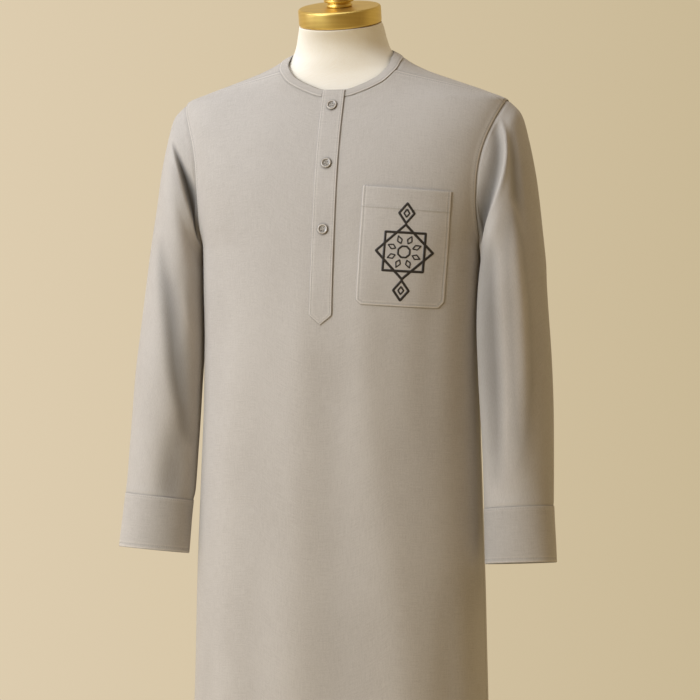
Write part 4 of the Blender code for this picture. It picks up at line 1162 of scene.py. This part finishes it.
def pocket():
    """The patch pocket: a hem along its top, sewn round its other sides, a little slack."""
    u = edge_spacing(POCKET_WIDTH, 0.0034) / POCKET_WIDTH
    v = edge_spacing(POCKET_HEIGHT, 0.0034) / POCKET_HEIGHT
    hem_rows = POCKET_HEM + np.array([-0.0014, -0.0007, 0, 0.0007, 0.0014])
    v = np.unique(np.concatenate([v, hem_rows / POCKET_HEIGHT]).round(6))
    x, z = pocket_map(u[None] + 0 * v[:, None], v[:, None] + 0 * u[None])
    gaps = [x * across + z * up - offset for across, up, offset in pocket_sides()]
    top, sewn = gaps[0], np.minimum.reduce(gaps[1:])
    hem = top - POCKET_HEM
    slack = smooth_step(sewn / 0.03)
    lift = 0.0015 + border(top) + border(sewn, 0.0009, 0.0009)
    lift -= 0.0003 * bell(sewn - POCKET_STITCH, 0.0007) * (top > 0.001)
    lift += 0.0005 * (1 - smooth_step((hem - 0.0004) / 0.0012))
    lift -= 0.0003 * bell(hem + 0.0016, 0.0008)
    lift += 0.0010 * slack * smooth_step((0.12 - np.abs(top - 0.05)) / 0.10)
    lift += 0.0003 * smooth_noise(np.stack([x, 0 * x, z], -1), 0.05, 23)
    lift += 0.0006 * (1 - smooth_step(top / 0.02)) * slack
    grid, out = front_points(x, z, lift)
    # Painted light and shade by the sewn edges, the top edge and the hem: painted shadows at the
    # edges, painted highlights on their folds
    tone = painted_edge_light_and_shade(sewn, POCKET_STITCH) - 0.30 * bell(top, 0.0007)
    tone += 0.10 * bell(top - 0.0018, 0.0009)
    tone += 0.08 * bell(hem + 0.0016, 0.0008) - 0.14 * bell(hem, 0.0011)
    return add_cloth("chest_pocket", grid, out, 0.0, tone)


neckband_cloth, neckband_grid = neckband()
placket_cloth, placket_grid = placket()
pocket_cloth, pocket_grid = pocket()


# ---------------------------------------------------------------- stitches
def surface_tree(*grids, closed=False):
    """A search tree over grids of outer points, for seating stitches on the cloth."""
    places, faces = [], []
    for grid in grids:
        faces += (grid_faces(*grid.shape[:2], closed) + len(places)).tolist()
        places += grid.reshape(-1, 3).tolist()
    return BVHTree.FromPolygons(places, faces)


def seat(tree, points, centre):
    """Nearest points of a surface, with normals turned away from the centre."""
    seats = []
    for point in points:
        spot, normal, _, _ = tree.find_nearest(Vector(point))
        if normal.dot(spot - Vector(centre(point))) < 0:
            normal = -normal
        seats.append((spot, normal))
    return seats


def resample(line, pitch):
    """The line, with points at an even pitch along it."""
    line = np.asarray(line, float)
    along = distances(line[None])[0]
    count = max(2, int(round(along[-1] / pitch)) + 1)
    return points_at(line, along, np.linspace(0, along[-1], count))


def ring(centre, across, up, radius, sides):
    """Points round a centre, in the plane of the directions across and up."""
    return [centre + (across * math.cos(t) + up * math.sin(t)) * radius for t in turns_of(sides)]


def body_centre(point):
    return (0.0, NECK_CENTRE[1], point[2] - 0.03)


def add_stitching(name, lines, tree, centre=body_centre, radius=STITCH_RADIUS):
    """Raised dashes of thread along lines: rounded, thicker in the middle, sunk at both ends."""
    verts, faces = [], []
    sides, rings = 6, 5
    dash_faces = grid_faces(rings, sides, closed=True)
    for line in lines:
        knots = resample(line, STITCH_PITCH)
        seats = seat(tree, (knots[:-1] + knots[1:]) / 2, centre)
        for (spot, out), way in zip(seats, unit(np.diff(knots, axis=0))):
            way = Vector(way)
            way = (way - out * way.dot(out)).normalized()
            start = len(verts)
            for t in np.linspace(-1, 1, rings):
                swell = math.sqrt(1 - t * t * 0.92)
                core = spot + way * (t * STITCH_LENGTH / 2) + out * (radius * (1.1 * swell - 0.75))
                verts += ring(core, out.cross(way), out, radius * swell, sides)
            faces += (dash_faces + start).tolist()
            faces.append(tuple(range(start + sides - 1, start - 1, -1)))
            faces.append(tuple(range(len(verts) - sides, len(verts))))
    add_object(name, new_mesh(name, verts, faces), THREAD)


def inset_line(lines, distance, from_end=False):
    """Points at a set distance from the start or the end of each line."""
    if from_end:
        lines = lines[:, ::-1]
    return np.array([points_at(*pair, distance) for pair in zip(lines, distances(lines))])


def seam_lines(outline, count, lift):
    """Lines on the creased front, along the straight parts of an outline of x and z."""
    share = np.linspace(0, 1, count)
    lines = []
    for (x0, z0), (x1, z1) in zip(outline, outline[1:]):
        lines.append(front_points(x0 + (x1 - x0) * share, z0 + (z1 - z0) * share, lift)[0])
    return lines


def body_stitching():
    """Stitches beside the armholes, along the yoke and round the hem."""
    tree = surface_tree(front_grid, back_grid, yoke_grid)
    reach = LAP_REACH + STITCH_IN
    upper_front, upper_back = (len(EDGE_STEPS) + rows + 1 for rows in (FRONT_ROWS, BACK_ROWS))
    yoke_line = inset_line(columns_of(yoke_grid), reach, True)
    lines = []
    for from_end in (False, True):
        lines.append(inset_line(front_grid[2:upper_front], reach, from_end))
        lines.append(inset_line(back_grid[:upper_back], reach, from_end))
    for line in (yoke_line, yoke_line[::-1]):
        lines.append(line[3 : yoke_corner - 1])
    add_stitching("armhole_stitching", lines, tree)
    front_line = inset_line(columns_of(front_grid), reach)
    neck_x = neckline(NECK_CORNER_PSI)[0][0] + 0.002
    left, right = (front_line[front_line[:, 0] * way > neck_x] for way in (1, -1))
    back_line = yoke_line[yoke_corner + 1 : -yoke_corner - 1]
    add_stitching("yoke_stitching", [left[3:], right[:-3], back_line], tree)
    hems = [inset_line(columns_of(grid), HEM_STITCH, True) for grid in (front_grid, back_grid)]
    add_stitching("hem_stitching", hems, tree)


def front_stitching():
    """Stitches of the neckband, the placket and the pocket."""
    line = inset_line(columns_of(neckband_grid), NECKBAND_STITCH)
    tree = surface_tree(neckband_grid)
    add_stitching("neckband_stitching", [line], tree, lambda point: NECK_CENTRE, 0.00022)
    side = PLACKET_WIDTH / 2 - PLACKET_STITCH
    tip_z = PLACKET_TIP_Z + PLACKET_STITCH * 1.35
    low_z, high_z = PLACKET_TIP_Z + PLACKET_POINT + PLACKET_STITCH * 0.55, 1.432
    outline = [(-side, high_z), (-side, low_z), (0.0, tip_z), (side, low_z), (side, high_z)]
    add_stitching("placket_stitching", seam_lines(outline, 60, 0.002), surface_tree(placket_grid))
    sides = [(a, b, c + POCKET_STITCH) for a, b, c in pocket_sides()]
    corners = []
    for (a, b, c), (d, e, f) in zip(sides[-1:] + sides[:-1], sides):
        cross = a * e - b * d
        corners.append(((c * e - b * f) / cross, (a * f - c * d) / cross))
    lines = seam_lines(corners[1:] + corners[:1], 50, 0.003)
    hem_share = np.full(60, POCKET_HEM_STITCH / POCKET_HEIGHT)
    lines.append(front_points(*pocket_map(np.linspace(0.035, 0.965, 60), hem_share), 0.003)[0])
    add_stitching("pocket_stitching", lines, surface_tree(pocket_grid))


def cuff_stitching(side, name, grid, closer):
    """Stitches round both edges of a cuff."""
    turns = np.arange(0, 360, 30.0)
    middles = sleeve_points(np.linspace(0, 11, 60)[:, None], turns[None], closer).mean(1)

    def centre(point):
        spot = middles[np.abs(middles[:, 2] - point[2]).argmin()]
        return (side * spot[0], spot[1], point[2])

    loop = columns_of(wrapped(grid))
    lines = [inset_line(loop, CUFF_TOP_STITCH), inset_line(loop, CUFF_END_STITCH, True)]
    add_stitching(f"cuff_stitching_{name}", lines, surface_tree(grid, closed=True), centre)


body_stitching()
front_stitching()
cuff_stitching(1, "left", cuff_left_grid, 0.0)
cuff_stitching(-1, "right", cuff_right_grid, RIGHT_SLEEVE_CLOSER)


# ---------------------------------------------------------------- embroidery on the pocket
MOTIF_X, MOTIF_Z = 0.1163, 1.2120
MOTIF_TURN = math.radians(-3.2)
MOTIF_HEIGHT = 0.00085


def motif_strokes():
    """Closed lines of the motif and their half widths: an eight-pointed star of two squares, with
    petals round an octagon, and a lozenge above and below."""

    def corners(radius, count, start):
        turns = start + turns_of(count)
        return [(radius * math.cos(t), radius * math.sin(t)) for t in turns]

    strokes = [(corners(0.0385, 4, start), 0.0019) for start in (0, math.pi / 4)]
    strokes.append((corners(0.0085, 8, math.pi / 8), 0.0014))
    for middle in (0.0545, -0.0545):
        for tall, wide, width in ((0.0140, 0.0105, 0.0018), (0.0055, 0.0038, 0.0012)):
            high, low = (0.0, middle + tall), (0.0, middle - tall)
            strokes.append(([high, (wide, middle), low, (-wide, middle)], width))
    for k in range(8):
        turn = math.pi * (k + 0.5) / 4
        petal = [(0.0125, 0.0), (0.0175, 0.0034), (0.0240, 0.0), (0.0175, -0.0034)]
        cosine, sine = math.cos(turn), math.sin(turn)
        strokes.append(([(a * cosine - b * sine, a * sine + b * cosine) for a, b in petal], 0.0010))
    return strokes


def add_motif():
    """Satin stitch along each stroke: a raised band of threads laid across it."""
    cosine, sine = math.cos(MOTIF_TURN), math.sin(MOTIF_TURN)
    places, faces = [], []
    share = np.linspace(-1, 1, 9)
    for stroke, width in motif_strokes():
        line = resample([(a, b, 0.0) for a, b in [*stroke, stroke[0]]], 0.0005)
        tangent = unit(np.gradient(line, axis=0))
        tangent[0] = tangent[-1] = unit(line[1] - line[-2])
        across = np.stack([-tangent[:, 1], tangent[:, 0]], 1)
        teeth = 1 + 0.10 * ((np.arange(len(line)) % 2) * 2 - 1)
        spots = line[:, None, :2] + across[:, None] * (share * width)[:, None]
        x = MOTIF_X + spots[..., 0] * cosine - spots[..., 1] * sine
        z = MOTIF_Z + spots[..., 0] * sine + spots[..., 1] * cosine
        height = MOTIF_HEIGHT * teeth[:, None] * (1 - share**2) ** 0.5 - 0.00012
        faces += (grid_faces(len(line), len(share)) + sum(map(len, places))).tolist()
        places.append(np.stack([x, z, height], -1).reshape(-1, 3))
    x, z, heights = np.concatenate(places).T
    base = front_points(x, z, 0.004 + 0 * x)[0]
    seats = seat(surface_tree(pocket_grid), base, body_centre)
    points = [spot + out * height for (spot, out), height in zip(seats, heights)]
    add_object("pocket_embroidery", new_mesh("pocket_embroidery", points, faces), SATIN)


add_motif()


# ---------------------------------------------------------------- buttons
HOLE_OFFSET = 0.0015
HOLE_RADIUS = 0.00080
HOLE_DEPTH = 0.0011
STRAND_RADIUS = 0.00017

# Shares of the button's radius and thickness, from its middle over the rim to its back
BUTTON_PROFILE = (
    (0, 0.60), (0.30, 0.60), (0.50, 0.62), (0.60, 0.70), (0.68, 0.88), (0.75, 0.97), (0.84, 1.0),
    (0.92, 0.95), (0.97, 0.82), (1.0, 0.62), (0.99, 0.42), (0.94, 0.22), (0.84, 0.08), (0.70, 0.0),
)


def tube_mesh(name, lines, radius, sides=8):
    """Round strands along lines of points."""
    verts, faces = [], []
    for line in lines:
        line = [Vector(p) for p in line]
        faces += (grid_faces(len(line), sides, closed=True) + len(verts)).tolist()
        for k, spot in enumerate(line):
            way = (line[min(k + 1, len(line) - 1)] - line[max(k - 1, 0)]).normalized()
            side = way.cross(Vector((0, 0, 1)))
            side = side.normalized() if side.length > 1e-6 else Vector((1, 0, 0))
            verts += ring(spot, side, side.cross(way), radius, sides)
    return new_mesh(name, verts, faces)


def button_surface(name):
    """A four-hole button as one surface: raised rim, dished middle and pits for the thread."""
    along = np.concatenate([np.linspace(0, 2, 22)[:-1], np.arange(2, len(BUTTON_PROFILE), 0.5)])
    read = table_reader(BUTTON_PROFILE, range(len(BUTTON_PROFILE)))
    steps = 96
    turns = turns_of(steps)
    rings, tones = [], []
    for share, level in read(along):
        x, y = BUTTON_RADIUS * share * np.cos(turns), BUTTON_RADIUS * share * np.sin(turns)
        z = np.full(steps, level * BUTTON_THICKNESS)
        # Painted shade in the dish beside the rim, a painted highlight on the top of the rim and
        # painted shade on its lower outer edge
        tone = 0.95 - 0.60 * bell(share - 0.58, 0.10) + 0.35 * bell(share - 0.84, 0.06)
        tone = np.full(steps, tone - 0.65 * (level < 0.7) * (share > 0.9))
        for sx, sy in ((1, 1), (1, -1), (-1, 1), (-1, -1)):
            gap = np.hypot(x - sx * HOLE_OFFSET, y - sy * HOLE_OFFSET)
            pit = 1 - smooth_step((gap - HOLE_RADIUS) / 0.00022)
            pit = pit * (level > 0.5) * (share < 0.62)
            z = z - HOLE_DEPTH * pit
            # Painted shade in the pits
            tone = tone * (1 - 0.8 * pit)
        rings.append(np.stack([x, y, z], 1))
        tones.append(tone)
    faces = np.roll(grid_faces(len(rings), steps, closed=True)[:, ::-1], 1, axis=1).tolist()
    faces.append(tuple(reversed(range((len(rings) - 1) * steps, len(rings) * steps))))
    mesh = new_mesh(name, np.concatenate(rings).tolist(), faces)
    store_painted_shading(mesh, np.array(tones), [corner for face in faces for corner in face])
    return mesh


def add_button(number, height, turn):
    """A button on the placket, turned a little, with two rows of thread through its holes."""
    base = on_body(np.array([0.0]), np.array([height]), -1)
    out = Vector(torso_normal(base)[0])
    tilt = out.to_track_quat("Z", "Y").to_matrix().to_4x4()
    spot = Vector(base[0]) + out * (2 * LIFT + WALL)
    place = Matrix.Translation(spot) @ tilt @ Matrix.Rotation(turn, 4, "Z")
    mesh = button_surface(f"button_{number}_pearl")
    mesh.transform(place)
    add_object(f"button_{number}_pearl", mesh, PEARL, f"button_{number}")
    level = BUTTON_THICKNESS * 0.60 + 0.00024
    shares = np.linspace(-1, 1, 13)
    depths = level - HOLE_DEPTH * smooth_step((np.abs(shares) - 0.72) / 0.28)
    strands = []
    for side in (1, -1):
        for lean in (-0.00028, 0.0, 0.00028):
            x = side * HOLE_OFFSET + lean
            strands.append([(x, share * 0.0016, z) for share, z in zip(shares, depths)])
    thread = tube_mesh(f"button_thread_{number}", strands, STRAND_RADIUS)
    thread.transform(place)
    add_object(f"button_thread_{number}", thread, THREAD)


for number, (height, turn) in enumerate(zip(BUTTON_HEIGHTS, (0.10, -0.22, 0.15)), 1):
    add_button(number, height, turn)


# ---------------------------------------------------------------- dress form and stand
def add_form():
    """The dress form, smooth from its flat base to the sloping top of its neck."""
    low, high = np.linspace(FORM_BASE_Z, 1.43, 70), np.linspace(1.43, NECK_TOP_Z, 90)[1:]
    heights = np.concatenate([low, high])
    turns = np.radians(np.arange(0, 360, 3.0))
    cosine, sine = np.cos(turns), np.sin(turns)
    rings = []
    for z, (half_width, front, back, middle, power) in zip(heights, form_at(heights)):
        depth = np.where(sine < 0, front + middle, back - middle)
        x = half_width * np.sign(cosine) * np.abs(cosine) ** (2 / power)
        y = middle + depth * np.sign(sine) * np.abs(sine) ** (2 / power)
        slope = math.tan(NECK_SLOPE) * smooth_step((z - 1.496) / (NECK_TOP_Z - 1.496))
        waist = smooth_step((z - 1.493) / 0.017) * (1 - smooth_step((z - 1.520) / 0.022))
        x = x * (1 - 0.024 * waist) - 0.0017 * waist
        rings.append(np.stack([x, y, z + (y - NECK_TOP_Y) * slope], 1))
    under, lid = rings[0].mean(0), rings[-1].mean(0)
    bottom = [under + (rings[0] - under) * share for share in (0.02, 0.5, 0.97)]
    bottom[2] = bottom[2] + np.array([0, 0, 0.0004])
    top = [lid + (rings[-1] - lid) * share for share in (0.99, 0.5, 0.02)]
    grid = np.array([*bottom, *rings, *top])
    # Painted shadow where the neckband lies close to the neck
    near = np.linalg.norm(grid[:, :, None] - neckband_grid[-1], axis=3).min(2)
    tone = -0.40 * bell(np.maximum(near - 0.0015, 0), 0.0026)
    outward = grid - np.array([0, -0.01, 1.2])
    mesh = grid_mesh("form_linen_cover", grid, True, outward, tone)
    add_object("form_linen_cover", mesh, LINEN, "form_torso")


def lathe_mesh(name, profile, steps):
    """A turned surface: rings of a profile of (radius, height), from its top to its bottom."""
    verts, faces, rings = [], [], []
    for radius, height in profile:
        if radius < 1e-7:
            rings.append([len(verts)] * steps)
            verts.append((0, 0, height))
        else:
            rings.append(list(range(len(verts), len(verts) + steps)))
            verts += [(radius * math.cos(t), radius * math.sin(t), height) for t in turns_of(steps)]
    for upper, lower in zip(rings, rings[1:]):
        for k in range(steps):
            n = (k + 1) % steps
            faces.append(tuple(dict.fromkeys([upper[k], lower[k], lower[n], upper[n]])))
    return new_mesh(name, verts, faces)


def rounded(profile, radius, steps=4):
    """A profile whose inner corners are rounded by small arcs."""
    out = [profile[0]]
    for before, at, after in zip(profile, profile[1:], profile[2:]):
        at = Vector(at)
        back, ahead = Vector(before) - at, Vector(after) - at
        cut = min(radius, back.length * 0.45, ahead.length * 0.45)
        start, end = at + back.normalized() * cut, at + ahead.normalized() * cut
        for t in np.linspace(0, 1, steps + 1):
            spot = start * (1 - t) ** 2 + at * 2 * t * (1 - t) + end * t * t
            out.append((spot.x, spot.y))
    out.append(profile[-1])
    return out


def add_turned(node, profile, place, steps=96, round_by=0.0012):
    """A turned brass piece: its profile of radius and height is in millimetres."""
    profile = [(radius / MM, height / MM) for radius, height in profile]
    mesh = lathe_mesh(f"{node}_brass", rounded(profile, round_by), steps)
    mesh.transform(place)
    add_object(f"{node}_brass", mesh, BRASS, node)


def on_neck(height):
    """Place on the sloping top of the neck, at a height above it."""
    slope_way = Vector((0, -math.sin(NECK_SLOPE), math.cos(NECK_SLOPE)))
    seat_place = Vector((0, NECK_TOP_Y, NECK_TOP_Z)) + slope_way * height
    return Matrix.Translation(seat_place) @ Matrix.Rotation(NECK_SLOPE, 4, "X")


cap, thick = CAP_RADIUS * MM, CAP_THICKNESS * MM
CAP_PROFILE = (
    (0, thick), (30, thick), (cap - 2.2, thick), (cap, thick - 2.2),
    (cap, 2.4), (cap - 2, 0.2), (30, 0), (0, 0),
)
FINIAL_PROFILE = (
    (0, 62), (8.5, 60.5), (16, 56), (20.5, 49), (21.5, 42), (19, 35), (15, 30.5), (15, 27.5),
    (21.5, 23.5), (25, 20.5), (25.5, 16.5), (23.5, 13.5), (20.5, 12), (22.5, 10), (21.5, 7.8),
    (16.5, 6.2), (18.5, 4), (18.8, 0), (0, 0),
)
wide, flat = BASE_RADIUS * MM, BASE_THICKNESS * MM
BASE_PROFILE = (
    (0, 60), (14.5, 60), (22, 60), (25, 57), (27, 30), (40, 22), (wide - 20, flat + 2),
    (wide - 4, flat), (wide, flat - 4), (wide, 0), (0, 0),
)
pole, pole_top = POLE_RADIUS * MM, (FORM_BASE_Z - LIFT) * MM
POLE_PROFILE = ((0, pole_top), (pole, pole_top), (pole, 62), (0, 60.3))

add_form()
add_turned("neck_cap", CAP_PROFILE, on_neck(LIFT))
add_turned("cap_finial", FINIAL_PROFILE, on_neck(CAP_THICKNESS + 2 * LIFT), round_by=0.0022)
add_turned("stand_base", BASE_PROFILE, Matrix.Identity(4), 128, 0.004)
add_turned("stand_pole", POLE_PROFILE, Matrix.Identity(4), 64, 0.0008)


# ---------------------------------------------------------------- sizes of the cut cloth
def sheet_size(grid, closed):
    """Greatest width and length of a grid of cloth, and its area."""
    around = wrapped(grid) if closed else grid
    width = distances(around)[:, -1].max()
    length = distances(columns_of(around))[:, -1].max()
    a, b = around[1:, 1:] - around[:-1, :-1], around[1:, :-1] - around[:-1, 1:]
    return width, length, np.linalg.norm(np.cross(a, b), axis=-1).sum() / 2


for piece, grid, closed, rests in (
    (front_cloth, front_grid, False, ["form_linen_cover"]),
    (back_cloth, back_grid, False, ["form_linen_cover"]),
    (yoke_cloth, yoke_grid, False, ["form_linen_cover"]),
    (sleeve_left, sleeve_left_grid, True, ["front_cloth"]),
    (sleeve_right, sleeve_right_grid, True, ["front_cloth"]),
    (cuff_left, cuff_left_grid, True, ["sleeve_left_cloth"]),
    (cuff_right, cuff_right_grid, True, ["sleeve_right_cloth"]),
    (neckband_cloth, neckband_grid, False, ["yoke_cloth"]),
    (placket_cloth, placket_grid, False, ["front_cloth"]),
    (pocket_cloth, pocket_grid, False, ["front_cloth"]),
):
    width, length, area = sheet_size(grid, closed)
    area = min(area, width * length)


# ---------------------------------------------------------------- floor, light and camera
def add_floor():
    """A plain pale floor, round and wide."""
    rim = [(2.6 * math.cos(t), 2.6 * math.sin(t), -0.0002) for t in turns_of(64)]
    mesh = new_mesh("studio_floor", rim, [tuple(range(len(rim)))])
    mesh.materials.append(plaster_material("studio_plaster", (0.785, 0.69, 0.485)))
    floor = bpy.data.objects.new("studio_floor", mesh)
    bpy.context.scene.collection.objects.link(floor)


def aim(thing, place, way):
    """Adds a light or the camera at a place, looking along a way."""
    thing.location = place
    thing.rotation_euler = way.to_track_quat("-Z", "Y").to_euler()
    bpy.context.scene.collection.objects.link(thing)


def add_light(name, place, target, size, power, colour):
    data = bpy.data.lights.new(name, "AREA")
    data.shape = "RECTANGLE"
    data.size, data.size_y = size
    data.energy = power
    data.color = colour
    aim(bpy.data.objects.new(name, data), place, Vector(target) - Vector(place))


def add_backdrop():
    """Pale behind the robe, a little darker towards +X; dim and warm in front and above."""
    world = bpy.data.worlds.new("studio_world")
    bpy.context.scene.world = world
    world.use_nodes = True
    nodes = Nodes(world)
    sideways, back, up = nodes.add("SeparateXYZ", {0: nodes.add("TexCoord")["Generated"]})
    across = nodes.maths("MULTIPLY_ADD", sideways, 2.5, 1.125)
    pale = nodes.ramp(across, (0.0, (0.752, 0.630, 0.450)), (1.0, (0.561, 0.459, 0.281)))
    smooth = {"interpolation_type": "SMOOTHSTEP"}
    behind = nodes.add("MapRange", {0: back, 1: -0.10, 2: 0.25}, **smooth)[0]
    below = nodes.add("MapRange", {0: up, 1: 0.55, 2: 0.95, 3: 1.0, 4: 0.0}, **smooth)[0]
    factor = nodes.maths("MULTIPLY", behind, below)
    dim = {0: factor, 6: (0.280, 0.202, 0.103, 1), 7: pale}
    colour = nodes.add("Mix", dim, data_type="RGBA")[2]
    nodes.feed(nodes.tree.nodes["Background"], {0: colour})


def add_camera():
    """The camera, at a long lens in front of the robe, a little to its left and above."""
    azimuth, elevation, distance = math.radians(15.0), math.radians(3.0), 3.5
    right = Vector((math.cos(azimuth), math.sin(azimuth), 0))
    target = Vector((0, 0, 1.066)) + right * 0.0066
    level = math.cos(elevation)
    ways = (math.sin(azimuth) * level, -math.cos(azimuth) * level, math.sin(elevation))
    data = bpy.data.cameras.new("camera")
    data.lens = 122.0
    data.sensor_width = 36.0
    data.clip_end = 30.0
    camera = bpy.data.objects.new("camera", data)
    aim(camera, target + Vector(ways) * distance, -Vector(ways))
    bpy.context.scene.camera = camera


add_floor()
add_light("key", (-2.1, -2.6, 2.3), (0, 0, 1.1), (1.5, 1.8), 91, (0.824, 0.905, 1.0))
add_light("side", (-3.3, -1.1, 2.0), (0, 0, 1.1), (1.3, 1.8), 26, (0.85, 0.86, 1.0))
add_light("top", (-0.4, -0.6, 3.3), (0, 0, 1.2), (2.0, 1.6), 22, (0.76, 0.85, 1.0))
add_backdrop()
add_camera()
bpy.context.scene.view_settings.view_transform = "Standard"
